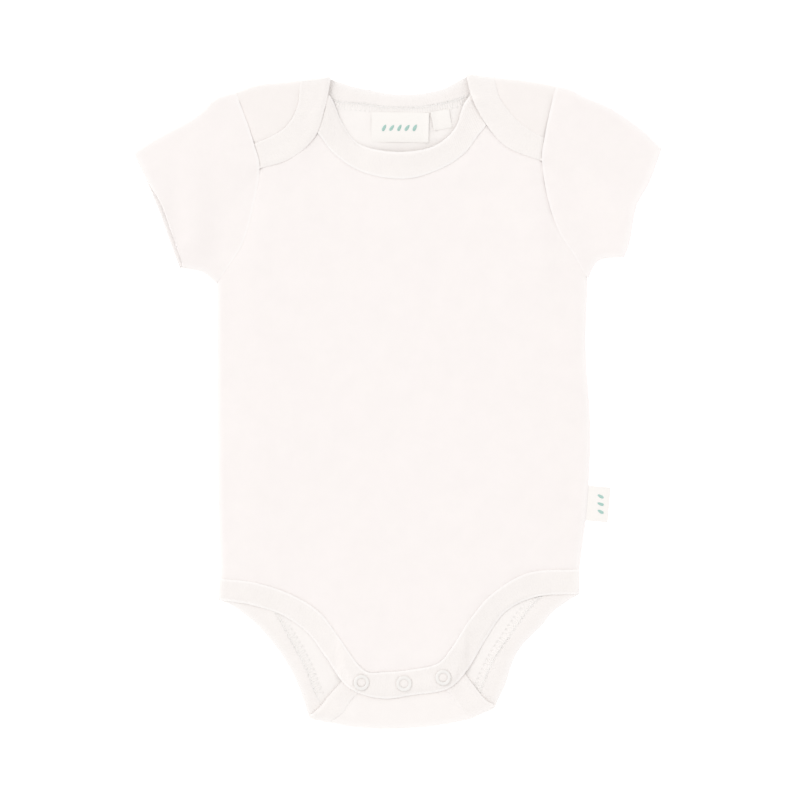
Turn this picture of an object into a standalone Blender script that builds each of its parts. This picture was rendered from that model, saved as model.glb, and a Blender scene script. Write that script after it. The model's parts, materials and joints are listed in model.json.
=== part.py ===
"""Short-sleeved baby bodysuit with an envelope neck, laid flat on its back.

Every piece of cloth is a wall: a surface worked out from short tables of seams,
edges and folds, then given its thickness. Tables are in millimetres, x to the
right, y towards the neck, z up from the surface that the garment lies on.
A band's row holds its seam and its free edge, because both lines are sewn.
"""
import math

import bmesh
import bpy
from mathutils import Vector

MM = 0.001

# Driving sizes, in millimetres
CLOTH = 1.0                # jersey wall
BAND = 1.5                 # band of doubled rib
PROUD = 0.4                # how far a front band stands above the panel it edges
SEAM_GAP = 0.3             # between two pieces that are sewn together
SHOULDER_FOLD = 2.6        # outer radius of the back where it turns over the shoulder
CROTCH_FOLD = 1.8          # outer radius of the back where it turns up at the crotch
FOLD_STEPS = 4             # faces round a fold
SIDE_TOP = 2.6             # height of the front's face along the side seams
BODY_TOP = 3.8             # height of the front's face in mid body
CUFF_TOP = 3.6             # height of a sleeve's face along its cuff
SLEEVE_CROWN = 0.7         # how much higher a sleeve is in its middle
SNAP_RADIUS = 4.65
SNAP_HOLE = 2.65
SNAP_CAP_HEIGHT = 0.9
SNAP_CROWN = 1.1           # flat part of the cap's rounded top
SNAP_STUD_RADIUS = 4.2
SNAP_STUD_HOLE = 1.2
SNAP_STUD_HEIGHT = 1.0
SNAP_SIDES = 20
LABEL = 0.9                # folded woven label
BOX_CENTRE = (0.16, 0.31)  # centre of the garment's box in the tables' own x and y

# How the cloth's height changes on the way: (where it starts, where it is whole, height)
LEFT_SIDE, RIGHT_SIDE = -109, 114
SIDE_SLOPE = 30            # width of the slope along each side seam
LEG_END_RISE = (-80, -105, 0.5)        # over the leg bands' outer ends
SHOULDER_SINK = (100, 130, -0.9)       # under the laps
NECK_RISE = (100, 135, 1.2)            # over the labels
NECK_RISE_REACH = 24
CROTCH_RISE = (-105, -155, 1.8)        # over the flap
CROTCH_RISE_REACH = 60
LAP_SINK = (160, 140, -0.4)            # at the laps' armhole ends
LAP_FOLD_START = (1, 9, 1.0)           # below the shoulder fold
FLAP_SINK = (-188, -174, -0.8)         # under the snaps
FLAP_MIDDLE = 3
FLAP_SINK_END = (34, 44, 1.0)          # to each side of the middle
SLEEVE_STEP = (-5, 4, 1.0)             # round the lap's corner at the armhole

# Pieces of a curve between two rows of its table
FINE = 2
COARSE = 1

# Side seams, from the leg to the underarm: (x, y)
SIDE_LEFT = [(-107, -106), (-108.3, -60), (-109, 0), (-109, 70.5)]
SIDE_RIGHT = [(109, -100.5), (113.4, -68), (116, -19), (113.2, 30), (114.3, 73)]

# Armholes, from the underarm to the fold over the shoulder: (x, y).
# Rows 4, 5 and 6 are where the lap's edge, the lap's seam and the front
# band's seam are caught in the armhole.
ARMHOLE_LEFT = [
    (-109, 70.5), (-101.5, 81), (-92.5, 95.5), (-86.5, 116),
    (-82.6, 139.5), (-86, 154.5), (-90, 167), (-96.3, 183.9),
]
ARMHOLE_RIGHT = [
    (114.3, 73), (106, 87.5), (97, 101.5), (90.5, 120),
    (86.5, 144), (88, 158), (90.5, 171), (94.3, 187.4),
]
LAP_EDGE_ROW, LAP_SEAM_ROW, FRONT_SEAM_ROW = 4, 5, 6

# Outermost line of the shoulder folds, from the armhole to the back band: (x, y)
SHOULDER_LEFT = [(-96.3, 186.5), (-84, 190.6), (-71, 192), (-58.5, 193.3)]
SHOULDER_RIGHT = [(94.3, 190), (84, 192), (72, 193.6), (58.3, 195)]

# Outermost line of the crotch fold between its bands: (x, y)
CROTCH = [(-39.5, -193.2), (-28, -195.3), (-10, -196.7), (2, -196.6), (19, -195.3), (32, -193.3), (43.5, -190.8)]

# Bands: (seam x, seam y, edge x, edge y)
NECK_FRONT = [
    (-90, 167, -93.7, 179.5), (-73, 170, -75, 185.3), (-58, 168.5, -54, 187.5),
    (-48, 160.8, -41.2, 184), (-38.5, 149, -33.5, 168), (-25.5, 139.5, -24, 155.3),
    (-9, 134.3, -8.5, 150.3), (9, 133.9, 9, 150), (27, 140, 23.5, 154),
    (40, 148.7, 34.5, 164), (50, 161.5, 40.7, 180), (60, 171.5, 52, 189),
    (76, 173.5, 74.5, 187.5), (90.5, 171, 92.2, 183),
]
LEG_FRONT = [
    (-107, -106, -107.7, -119), (-84, -108.8, -88, -122), (-62, -116.5, -68.5, -128.5),
    (-46, -127, -53.5, -139.5), (-34.5, -142, -43, -153.5), (-20.5, -160.5, -29.5, -171.5),
    (-8, -162, -10, -178), (8, -160.5, 9, -176), (23.5, -157, 29.5, -172.5),
    (32, -148, 41.5, -161.5), (43, -131, 53, -142.5), (57, -115, 65, -126),
    (79, -102.5, 84, -117), (109, -100.5, 109.5, -115.5),
]
LAP_LEFT = [
    (-86, 154.5, -82.6, 139.5), (-75, 159.3, -64.5, 146.5), (-66, 165.7, -50.5, 159),
    (-60, 177, -43.6, 178), (-58.5, 193.3, -40, 195.8),
]
NECK_BACK = [
    (-58.5, 193.3, -40, 195.8), (-46.5, 184, -35.5, 192), (-34, 179.3, -26, 189),
    (-21, 178.3, -16, 187), (-7, 176.4, -5.5, 184.9), (8, 175.9, 6, 184.3),
    (21, 177.5, 17.5, 185.4), (34, 180.3, 28, 188), (47, 185.5, 36, 192.2),
    (58.3, 195, 41.3, 197.4),
]
LAP_RIGHT = [
    (58.3, 195, 41.3, 197.4), (61, 182.5, 44.5, 182), (68, 172.5, 52.5, 167),
    (77, 164.3, 65.5, 152.5), (88, 158, 86.5, 144),
]
LEG_BACK_LEFT = [
    (-107, -105.5, -107.7, -119), (-94, -109.8, -99, -122.7), (-82, -117.5, -91, -128.5),
    (-73, -126.5, -83, -135.5), (-66, -139, -76, -143.5), (-59.5, -150.5, -69.5, -152),
    (-54.5, -160, -64.5, -160.5), (-50.8, -170, -60, -169.5), (-46.5, -180.5, -56.5, -179.5),
    (-39.5, -193.2, -53.3, -190.8),
]
FLAP_LEFT = [
    (-39.5, -193.2, -53.3, -190.8), (-33, -187, -46.5, -183), (-28, -179.5, -40, -175),
    (-22, -173.5, -29.5, -163.5),
]
FLAP_TOP = [
    (-22, -173.5, -29.5, -163.5), (-10, -174, -12, -163.5), (3, -173.8, 4, -163.3),
    (15, -172.5, 20, -161), (27.5, -171, 37, -158.5),
]
FLAP_RIGHT = [
    (27.5, -171, 37, -158.5), (34, -178.5, 46, -170.5), (39, -185, 53, -178.8),
    (43.5, -190.8, 59, -184),
]
LEG_BACK_RIGHT = [
    (43.5, -190.8, 59, -184), (47.5, -180, 61.5, -177), (50.5, -170.5, 65, -169.5),
    (54, -161.5, 68, -160), (59, -152, 71.5, -151.5), (65, -143, 77.5, -143.5),
    (72, -133, 85.5, -135.8), (80, -122.5, 93, -126.7), (92, -110.5, 101.5, -120.3),
    (109.2, -101, 109.3, -115.5),
]

# Sleeves: (x, y), from the body outwards along the top and the underarm,
# and from the underarm to the top along the cuff
SLEEVE_TOP_LEFT = [(-96.3, 186.5), (-109, 182.5), (-116, 176), (-125, 169), (-145.5, 158), (-158, 149.5)]
SLEEVE_UNDER_LEFT = [(-109.4, 71), (-115, 76), (-120, 78), (-130, 79.5)]
CUFF_LEFT = [(-130, 79.5), (-136, 95.5), (-142.5, 114), (-150.5, 133), (-158, 149.5)]
SLEEVE_TOP_RIGHT = [(94.3, 190), (103, 188.3), (112, 183.5), (128.5, 176), (146, 164), (158.3, 152.3)]
SLEEVE_UNDER_RIGHT = [(115, 73.8), (118, 81), (123, 85), (135.5, 86)]
CUFF_RIGHT = [(135.5, 86), (139, 96), (143, 117), (151, 132), (158.3, 152.3)]

# Soft folds in the front and the sleeves: (from x, from y, to x, to y, half width, height)
FOLDS = [
    (88, 130, 97, 92, 6, -0.5),
    (78, 118, 90, 84, 7, 0.5),
    (-84, 126, -92, 94, 6, -0.4),
    (-76, 112, -86, 82, 8, 0.4),
    (100, 158, 137, 112, 8, 1.3),
    (104, 132, 120, 100, 7, -0.6),
    (-119, 152, -121, 98, 8, 1.1),
    (-105, 112, -108, 88, 7, -0.6),
    (-134, 124, -132, 100, 6, -0.6),
]
LAP_FOLDS = [
    (86, 190, 85, 163, 7, -0.4),
    (64.5, 194, 67, 181, 6, 0.6),
    (-74, 190, -73, 168, 8, -0.3),
]

# Snaps, from left to right: (x, y)
SNAPS = [(-21.6, -168.3), (3.9, -168.9), (27.3, -165.3)]

# Labels: (middle x, middle y, width, height, turn in degrees)
NECK_LABEL = (1.5, 164.5, 34.5, 18, -1)
SIZE_LABEL = (26.3, 169, 11.2, 11.4, 10)
SIDE_LABEL = (120.6, -61.5, 13.2, 21.4, -5)

IVORY = (0.93, 0.90, 0.87)
RIB_IVORY = (0.91, 0.88, 0.85)
LABEL_WHITE = (0.95, 0.95, 0.94)
PEARL = (0.92, 0.92, 0.90)


# Heights

def ease(t):
    """Smooth step from 0 to 1."""
    t = min(max(t, 0.0), 1.0)
    return t * t * (3 - 2 * t)


def change(place, start, whole, height):
    """A smooth change that is 0 up to start and has its whole height from whole on."""
    return height * ease((place - start) / (whole - start))


def fold_relief(x, y, folds):
    """Height of the soft folds at a place: each a rounded ridge or trough that fades at its ends."""
    relief = 0.0
    place = Vector((x, y))
    for from_x, from_y, to_x, to_y, half_width, height in folds:
        start = Vector((from_x, from_y))
        run = Vector((to_x, to_y)) - start
        along = min(max((place - start).dot(run) / run.length_squared, 0.0), 1.0)
        away = (place - start - run * along).length
        relief += height * math.exp(-(away / half_width) ** 2)
    return relief


def front_top(x, y):
    """Height of the front's outside face: low at the side seams, raised at the crotch and neck."""
    inwards = ease(min(x - LEFT_SIDE, RIGHT_SIDE - x) / SIDE_SLOPE)
    height = SIDE_TOP + (BODY_TOP - SIDE_TOP) * inwards
    height += change(y, *LEG_END_RISE) * (1 - inwards)
    height += change(y, *SHOULDER_SINK)
    height += change(y, *NECK_RISE) * math.exp(-(x / NECK_RISE_REACH) ** 2)
    height += change(y, *CROTCH_RISE) * math.exp(-(x / CROTCH_RISE_REACH) ** 4)
    return height + fold_relief(x, y, FOLDS)


def shoulder_line(x):
    """The y of the outermost line of the shoulder fold at x."""
    line = SHOULDER_LEFT if x < 0 else SHOULDER_RIGHT[::-1]
    for start, end in zip(line, line[1:]):
        if x <= end[0]:
            break
    return start[1] + (end[1] - start[1]) * (x - start[0]) / (end[0] - start[0])


def lap_top(x, y):
    """Height of a lap's outside face: level with the shoulder fold, lower at its armhole end."""
    height = 2 * SHOULDER_FOLD + change(y, *LAP_SINK)
    below_fold = shoulder_line(x) - SHOULDER_FOLD - y
    return height + fold_relief(x, y, LAP_FOLDS) * change(below_fold, *LAP_FOLD_START)


def flap_top(x, y):
    """Height of the crotch flap's outside face: it sinks in the middle, under the snaps."""
    middle = 1 - change(abs(x - FLAP_MIDDLE), *FLAP_SINK_END)
    return 2 * CROTCH_FOLD + change(y, *FLAP_SINK) * middle


def table_level(x, y):
    """Height of the back's outside face, which rests on the table."""
    return 0.0


# Curves and surfaces

def spline(rows, pieces):
    """Points on the smooth curve through rows of any width, with pieces between two rows."""
    places = [Vector(row) for row in rows]
    ends = [2 * places[0] - places[1]] + places + [2 * places[-1] - places[-2]]
    curve = []
    for before, start, end, after in zip(ends, ends[1:], ends[2:], ends[3:]):
        for k in range(pieces):
            t = k / pieces
            curve.append(0.5 * (2 * start + (end - before) * t
                                + (2 * before - 5 * start + 4 * end - after) * t ** 2
                                + (3 * start - before - 3 * end + after) * t ** 3))
    return curve + [places[-1]]


def evenly(rows, pieces):
    """Points on the smooth curve through rows, at equal lengths along it."""
    fine = spline(rows, 12)
    lengths = [0.0]
    for start, end in zip(fine, fine[1:]):
        lengths.append(lengths[-1] + (end - start).length)
    curve = []
    k = 0
    for n in range(pieces + 1):
        wanted = lengths[-1] * n / pieces
        while k < len(fine) - 2 and lengths[k + 1] < wanted:
            k += 1
        part = (wanted - lengths[k]) / (lengths[k + 1] - lengths[k])
        curve.append(fine[k].lerp(fine[k + 1], part))
    return curve


def chain(*runs):
    """One run of points from several that meet end to end."""
    points = list(runs[0])
    for run in runs[1:]:
        points += list(run)[1:]
    return points


def patch(bottom, top, left, right):
    """Rows of points that fill the area between four runs (a Coons patch)."""
    across, along = len(bottom) - 1, len(left) - 1
    rows = []
    for j in range(along + 1):
        v = j / along
        row = []
        for i in range(across + 1):
            u = i / across
            ruled = bottom[i].lerp(top[i], v) + left[j].lerp(right[j], u)
            corners = bottom[0].lerp(bottom[-1], u).lerp(top[0].lerp(top[-1], u), v)
            row.append(ruled - corners)
        rows.append(row)
    return rows


def raised(rows, height):
    """Give rows of flat points their height above the table."""
    return [[(p.x, p.y, height(p.x, p.y)) for p in row] for row in rows]


def inside_fold(run, radius, side):
    """Move a fold's outermost line to where the cloth leaves the bend; side is 1 up, -1 down in y."""
    return [Vector((p.x, p.y + side * radius)) for p in run]


def bend(outermost, radius, side):
    """Rows of points round a fold, from the table over to the upper side."""
    rows = []
    for step in range(FOLD_STEPS + 1):
        angle = math.pi * step / FOLD_STEPS
        inward = side * radius * (1 - math.sin(angle))
        rows.append([(p.x, p.y + inward, radius * (1 - math.cos(angle))) for p in outermost])
    return rows


def band_rows(rows, height, across=2):
    """Rows across a band, each from its seam to its edge."""
    surface = []
    for row in rows:
        seam, edge = Vector(row[:2]), Vector(row[2:])
        points = [seam.lerp(edge, k / across) for k in range(across + 1)]
        surface.append([(p.x, p.y, height(p.x, p.y)) for p in points])
    return surface


def at_fold(rows, radius, side, first=False, last=False):
    """Band rows whose first or last one stops where the cloth leaves the bend."""
    moved = [Vector(row) for row in rows]
    for index, wanted in ((0, first), (-1, last)):
        if wanted:
            moved[index] += Vector((0, side * radius, 0, side * radius))
    return moved


def band_bend(row, radius, side, across=2):
    """Rows of a band round a fold, each from its seam to its edge."""
    seam, edge = Vector(row[:2]), Vector(row[2:])
    return bend([seam.lerp(edge, k / across) for k in range(across + 1)], radius, side)


def seams(rows):
    """The seam line of a band's rows."""
    return [Vector(row[:2]) for row in rows]


# Meshes and objects

def in_frame(point):
    """A point of the tables in the garment's own frame, in metres."""
    return (Vector(point) - Vector((*BOX_CENTRE, 0))) * MM


def add_grid(bm, rows, flip=False, ring=False):
    """Join rows of points with quads; a ring also joins each row's last point to its first."""
    verts = [[bm.verts.new(in_frame(p)) for p in row] for row in rows]
    width = len(rows[0])
    for lower, upper in zip(verts, verts[1:]):
        for i in range(width if ring else width - 1):
            k = (i + 1) % width
            corners = [lower[i], lower[k], upper[k], upper[i]]
            bm.faces.new(corners[::-1] if flip else corners)


def pull_in_rim(bm, distance):
    """Move a surface's open rim inwards, in the surface, by distance in millimetres."""
    bm.normal_update()
    inward = {}
    for edge in bm.edges:
        if not edge.is_boundary:
            continue
        face = edge.link_faces[0]
        start, end = edge.verts
        across = (end.co - start.co).cross(face.normal).normalized()
        middle = (start.co + end.co) / 2
        if across.dot(face.calc_center_median() - middle) < 0:
            across.negate()
        for vert in edge.verts:
            inward.setdefault(vert, []).append(across)
    for vert, directions in inward.items():
        mean = sum(directions, Vector()).normalized()
        spread = max(mean.dot(directions[0]), 0.6)
        vert.co += mean * (distance * MM / spread)
        vert.co.z = max(vert.co.z, 0.0)


def material(name, colour, roughness, metallic=0.0):
    """A Principled material of one colour."""
    made = bpy.data.materials.new(name)
    made.use_nodes = True
    shader = made.node_tree.nodes["Principled BSDF"]
    shader.inputs["Base Color"].default_value = (*colour, 1.0)
    shader.inputs["Roughness"].default_value = roughness
    shader.inputs["Metallic"].default_value = metallic
    made.diffuse_color = (*colour, 1.0)
    return made


def add_object(name, mesh, colour, roughness):
    """Put a mesh in the garment's collection under its own name and material."""
    piece = bpy.data.objects.new(name, mesh)
    mesh.materials.append(material(name, colour, roughness))
    mesh.shade_smooth()
    bpy.data.collections["baby_onesie"].objects.link(piece)
    return piece


def cloth(name, grids, thickness, colour=IVORY, proud=0.0, ring=False):
    """A cloth wall from its outside face: grids is a list of (rows, flip)."""
    bm = bmesh.new()
    for rows, flip in grids:
        add_grid(bm, rows, flip, ring)
    bmesh.ops.remove_doubles(bm, verts=bm.verts, dist=1e-7)
    pull_in_rim(bm, SEAM_GAP / 2 * thickness / CLOTH)
    mesh = bpy.data.meshes.new(name)
    bm.to_mesh(mesh)
    bm.free()
    piece = add_object(name, mesh, colour, 0.9)
    wall = piece.modifiers.new("Wall", "SOLIDIFY")
    wall.thickness = thickness * MM
    wall.offset = 2 * proud / thickness - 1
    wall.use_even_offset = True
    return piece


# Pieces

def armhole(rows):
    """The armhole's points, from the underarm to the shoulder fold."""
    return spline(rows, FINE)


def make_front_panel():
    """Front: from the leg band's seam to the neck band's seam, between sides and armholes."""
    bottom = seams(spline(LEG_FRONT, FINE))
    top = seams(spline(NECK_FRONT, FINE))
    caught = FRONT_SEAM_ROW * FINE + 1
    left = chain(evenly(SIDE_LEFT, 9), armhole(ARMHOLE_LEFT)[:caught])
    right = chain(evenly(SIDE_RIGHT, 9), armhole(ARMHOLE_RIGHT)[:caught])
    rows = raised(patch(bottom, top, left, right), front_top)
    cloth("front_panel", [(rows, False)], CLOTH)


def make_back_panel():
    """Back: one wall that lies on the table and turns over at both shoulders and at the crotch."""
    shoulder_steps, crotch_steps = 4, 8
    shoulder_left = evenly(SHOULDER_LEFT, shoulder_steps)
    shoulder_right = evenly(SHOULDER_RIGHT, shoulder_steps)
    crotch = evenly(CROTCH, crotch_steps)
    leg_left = at_fold(LEG_BACK_LEFT, CROTCH_FOLD, 1, last=True)
    leg_right = at_fold(LEG_BACK_RIGHT, CROTCH_FOLD, 1, first=True)
    neck = spline(at_fold(NECK_BACK, SHOULDER_FOLD, -1, first=True, last=True), FINE)
    bottom = chain(seams(spline(leg_left, COARSE)), inside_fold(crotch, CROTCH_FOLD, 1),
                   seams(spline(leg_right, COARSE)))
    top = chain(inside_fold(shoulder_left, SHOULDER_FOLD, -1), seams(neck),
                inside_fold(shoulder_right[::-1], SHOULDER_FOLD, -1))
    hole_left, hole_right = armhole(ARMHOLE_LEFT), armhole(ARMHOLE_RIGHT)
    left = chain(evenly([LEG_BACK_LEFT[0][:2]] + SIDE_LEFT[1:], 9), hole_left)
    right = chain(evenly([LEG_BACK_RIGHT[-1][:2]] + SIDE_RIGHT[1:], 9), hole_right)
    grids = [(raised(patch(bottom, top, left, right), table_level), True)]
    caught = LAP_SEAM_ROW * FINE
    for shoulder, hole, lap, flip in (
            (shoulder_left, hole_left, LAP_LEFT[::-1], True),
            (shoulder_right, hole_right, LAP_RIGHT, False)):
        seam = seams(spline(at_fold(lap, SHOULDER_FOLD, -1, first=True), FINE))
        turn = shoulder_steps
        rows = patch(inside_fold(shoulder, SHOULDER_FOLD, -1), seam[turn:][::-1],
                     hole[caught:][::-1], seam[:turn + 1])
        grids.append((bend(shoulder, SHOULDER_FOLD, -1), flip))
        grids.append((raised(rows, lap_top), flip))
    flap_left = seams(spline(at_fold(FLAP_LEFT, CROTCH_FOLD, 1, first=True), COARSE))
    flap_right = seams(spline(at_fold(FLAP_RIGHT, CROTCH_FOLD, 1, last=True), COARSE))
    rows = patch(inside_fold(crotch, CROTCH_FOLD, 1), seams(spline(FLAP_TOP, FINE)),
                 flap_left, flap_right[::-1])
    grids.append((bend(crotch, CROTCH_FOLD, 1), False))
    grids.append((raised(rows, flap_top), False))
    cloth("back_panel", grids, CLOTH)


def sleeve_top(x, y, corner_y, part, hem):
    """Height of a sleeve's face: the armhole's own height at part 0, the cuff's at part 1."""
    lap_part = change(y - corner_y, *SLEEVE_STEP)
    at_body = front_top(x, y) * (1 - lap_part) + 2 * SHOULDER_FOLD * lap_part
    return at_body * (1 - ease(part)) + (hem + fold_relief(x, y, FOLDS)) * ease(part)


def sleeve_ring(run, part, corner_y, turn_steps=3):
    """One ring round a flattened sleeve: over the upper layer, then back under it."""
    under_radius = (SIDE_TOP * (1 - part) + CUFF_TOP * part) / 2
    top_radius = (2 * SHOULDER_FOLD * (1 - part) + CUFF_TOP * part) / 2
    stations = []
    for first, second, radius in ((run[0], run[1], under_radius), (run[-1], run[-2], top_radius)):
        step = (second - first).normalized() * radius
        turn = []
        for k in range(turn_steps):
            angle = math.pi / 2 * k / turn_steps
            turn.append((first + step * (1 - math.cos(angle)), math.sin(angle), radius))
        stations.append(turn)
    under, over = stations
    flat = [(place, 1.0, under_radius) for place in run[1:-1]]
    line = under + flat + over[::-1]
    upper, lower = [], []
    for place, rise, radius in line:
        crown = SLEEVE_CROWN * math.sin(math.pi * (place - run[0]).length / (run[-1] - run[0]).length)
        height = sleeve_top(place.x, place.y, corner_y, part, CUFF_TOP + max(crown, 0.0))
        upper.append((place.x, place.y, radius + (height - radius) * rise))
        lower.append((place.x, place.y, radius * (1 - rise)))
    return upper + lower[-2:0:-1]


def make_sleeve(name, hole, shoulder, under, over, cuff, flip):
    """A sleeve: a flattened tube from the armhole to the cuff."""
    steps = 7
    ring_places = len(hole) * FINE
    body_end = [Vector(under[0])] + armhole(hole)[1:] + [Vector(shoulder)]
    cuff_run = evenly(cuff, ring_places - 1)
    places = patch(body_end, cuff_run, evenly(under, steps), evenly(over, steps))
    corner_y = hole[LAP_EDGE_ROW][1]
    rings = [sleeve_ring(run, k / steps, corner_y) for k, run in enumerate(places)]
    cloth(name, [(rings, flip)], CLOTH, ring=True)


def caught_end(hole):
    """A lap band's end row, which follows the armhole from the lap's seam to its edge."""
    caught = armhole(hole)[LAP_EDGE_ROW * FINE:LAP_SEAM_ROW * FINE + 1]
    return raised([caught[::-1]], lap_top)


def make_neck_bands():
    """Neck bands: the front one, and the back one that turns over both shoulders."""
    front = band_rows(spline(NECK_FRONT, FINE), front_top)
    cloth("neck_band_front", [(front, True)], BAND, RIB_IVORY, proud=PROUD)
    lap_left = spline(at_fold(LAP_LEFT, SHOULDER_FOLD, -1, last=True), FINE)
    lap_right = spline(at_fold(LAP_RIGHT, SHOULDER_FOLD, -1, first=True), FINE)
    back = spline(at_fold(NECK_BACK, SHOULDER_FOLD, -1, first=True, last=True), FINE)
    end_left, end_right = caught_end(ARMHOLE_LEFT), caught_end(ARMHOLE_RIGHT)
    grids = [
        (end_left + band_rows(lap_left, lap_top)[1:], False),
        (band_bend(LAP_LEFT[-1], SHOULDER_FOLD, -1), True),
        (band_rows(back, table_level), False),
        (band_bend(LAP_RIGHT[0], SHOULDER_FOLD, -1), False),
        (band_rows(lap_right, lap_top)[:-1] + end_right, False),
    ]
    cloth("neck_band_back", grids, BAND, RIB_IVORY)


def make_leg_bands():
    """Leg bands: the front one with the crotch closing, and the back one round the flap."""
    front = band_rows(spline(LEG_FRONT, FINE), front_top)
    cloth("leg_band_front", [(front, False)], BAND, RIB_IVORY, proud=PROUD)
    left = spline(at_fold(LEG_BACK_LEFT, CROTCH_FOLD, 1, last=True), COARSE)
    right = spline(at_fold(LEG_BACK_RIGHT, CROTCH_FOLD, 1, first=True), COARSE)
    flap_left = spline(at_fold(FLAP_LEFT, CROTCH_FOLD, 1, first=True), COARSE)
    flap_right = spline(at_fold(FLAP_RIGHT, CROTCH_FOLD, 1, last=True), COARSE)
    flap = chain(flap_left, spline(FLAP_TOP, FINE), flap_right)
    grids = [
        (band_rows(left, table_level), True),
        (band_bend(LEG_BACK_LEFT[-1], CROTCH_FOLD, 1), True),
        (band_rows(flap, flap_top), True),
        (band_bend(LEG_BACK_RIGHT[0], CROTCH_FOLD, 1), False),
        (band_rows(right, table_level), True),
    ]
    cloth("leg_band_back", grids, BAND, RIB_IVORY)


def highest(surface, x, y, reach):
    """Greatest height of a surface under a round piece."""
    places = [(x, y)]
    for k in range(8):
        angle = math.tau * k / 8
        places.append((x + reach * math.cos(angle), y + reach * math.sin(angle)))
    return max(surface(px, py) for px, py in places)


def add_turned(name, place, profile):
    """A turned piece from a closed profile of (radius, height) that runs down its outer side."""
    mesh = bpy.data.meshes.new(name)
    corners = [(radius * MM, 0, height * MM) for radius, height in profile]
    edges = [(k, (k + 1) % len(corners)) for k in range(len(corners))]
    mesh.from_pydata(corners, edges, [])
    piece = add_object(name, mesh, PEARL, 0.35)
    piece.location = in_frame(place)
    turn = piece.modifiers.new("Turn", "SCREW")
    turn.steps = SNAP_SIDES
    turn.render_steps = SNAP_SIDES
    turn.use_merge_vertices = True
    turn.merge_threshold = 0.00001


def make_snaps():
    """Snaps: an open ring cap on the band, and the fastened halves between band and flap."""
    middle = (SNAP_RADIUS + SNAP_HOLE) / 2
    shoulder = 0.4 * SNAP_CAP_HEIGHT
    cap = [
        (SNAP_RADIUS, shoulder), (SNAP_RADIUS, 0), (SNAP_HOLE, 0), (SNAP_HOLE, shoulder),
        (middle - SNAP_CROWN / 2, SNAP_CAP_HEIGHT), (middle + SNAP_CROWN / 2, SNAP_CAP_HEIGHT),
    ]
    stud = [
        (SNAP_STUD_RADIUS, SNAP_STUD_HEIGHT), (SNAP_STUD_RADIUS, 0),
        (SNAP_STUD_HOLE, 0), (SNAP_STUD_HOLE, SNAP_STUD_HEIGHT),
    ]
    for number, (x, y) in enumerate(SNAPS, 1):
        band_top = highest(front_top, x, y, SNAP_RADIUS) + PROUD
        add_turned(f"snap_ring_{number}", (x, y, band_top + SEAM_GAP), cap)
        flap = highest(flap_top, x, y, SNAP_STUD_RADIUS)
        add_turned(f"snap_stud_{number}", (x, y, flap + SEAM_GAP), stud)


def make_label(name, label, bottom):
    """A woven label, a flat slab turned about the vertical."""
    x, y, width, height, turn = label
    bm = bmesh.new()
    bmesh.ops.create_cube(bm, size=1.0)
    for vert in bm.verts:
        vert.co *= MM
        vert.co = Vector((vert.co.x * width, vert.co.y * height, vert.co.z * LABEL))
    mesh = bpy.data.meshes.new(name)
    bm.to_mesh(mesh)
    bm.free()
    piece = add_object(name, mesh, LABEL_WHITE, 0.7)
    piece.location = in_frame((x, y, bottom + LABEL / 2))
    piece.rotation_euler.z = math.radians(turn)


def main():
    for old in list(bpy.data.objects):
        bpy.data.objects.remove(old, do_unlink=True)
    collection = bpy.data.collections.new("baby_onesie")
    bpy.context.scene.collection.children.link(collection)
    make_back_panel()
    make_front_panel()
    make_sleeve("sleeve_left", ARMHOLE_LEFT, SHOULDER_LEFT[0], SLEEVE_UNDER_LEFT,
                SLEEVE_TOP_LEFT, CUFF_LEFT, flip=False)
    make_sleeve("sleeve_right", ARMHOLE_RIGHT, SHOULDER_RIGHT[0], SLEEVE_UNDER_RIGHT,
                SLEEVE_TOP_RIGHT, CUFF_RIGHT, flip=True)
    make_neck_bands()
    make_leg_bands()
    make_snaps()
    make_label("neck_label", NECK_LABEL, CLOTH + SEAM_GAP)
    make_label("size_label", SIZE_LABEL, CLOTH + SEAM_GAP)
    make_label("side_label", SIDE_LABEL, 0)


main()
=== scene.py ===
"""Looks of the laid-out baby bodysuit: fine cloth, seams, sewing, snaps and labels.

The tables are the solids' own, in millimetres: x to the right, y towards the neck, z up
from the surface that the garment lies on. Only the left lap's free edge differs, by
about 1 mm at most. Each piece of cloth is an outside face worked out from the tables,
with its seams, folds and puckers, and then made a thin wall. A cut coordinate in
millimetres goes with every point, so that the knit follows the cloth.
"""
import json
import math

import bpy
import numpy as np
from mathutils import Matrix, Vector

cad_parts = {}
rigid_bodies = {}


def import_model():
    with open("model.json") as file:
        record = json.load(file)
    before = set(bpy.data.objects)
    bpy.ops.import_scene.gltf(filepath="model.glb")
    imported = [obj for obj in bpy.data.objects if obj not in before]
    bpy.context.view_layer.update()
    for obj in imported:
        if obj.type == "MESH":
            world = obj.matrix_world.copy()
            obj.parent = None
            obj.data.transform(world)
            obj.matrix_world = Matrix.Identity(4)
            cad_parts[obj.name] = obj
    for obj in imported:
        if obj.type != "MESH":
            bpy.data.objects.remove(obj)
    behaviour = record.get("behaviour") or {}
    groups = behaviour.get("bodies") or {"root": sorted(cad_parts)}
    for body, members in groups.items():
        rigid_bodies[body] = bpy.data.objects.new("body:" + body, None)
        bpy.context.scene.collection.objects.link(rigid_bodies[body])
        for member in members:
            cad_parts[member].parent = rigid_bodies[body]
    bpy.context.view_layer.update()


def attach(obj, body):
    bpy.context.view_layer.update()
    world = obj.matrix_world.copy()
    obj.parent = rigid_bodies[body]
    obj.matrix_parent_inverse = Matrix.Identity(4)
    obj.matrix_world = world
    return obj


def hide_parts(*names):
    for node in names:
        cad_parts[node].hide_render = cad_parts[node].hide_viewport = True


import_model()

MM = 0.001
BOX_CENTRE = np.array([0.16, 0.31, 0.0])   # the frame's origin in the tables' x and y
FULL = 2 * math.pi

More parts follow.
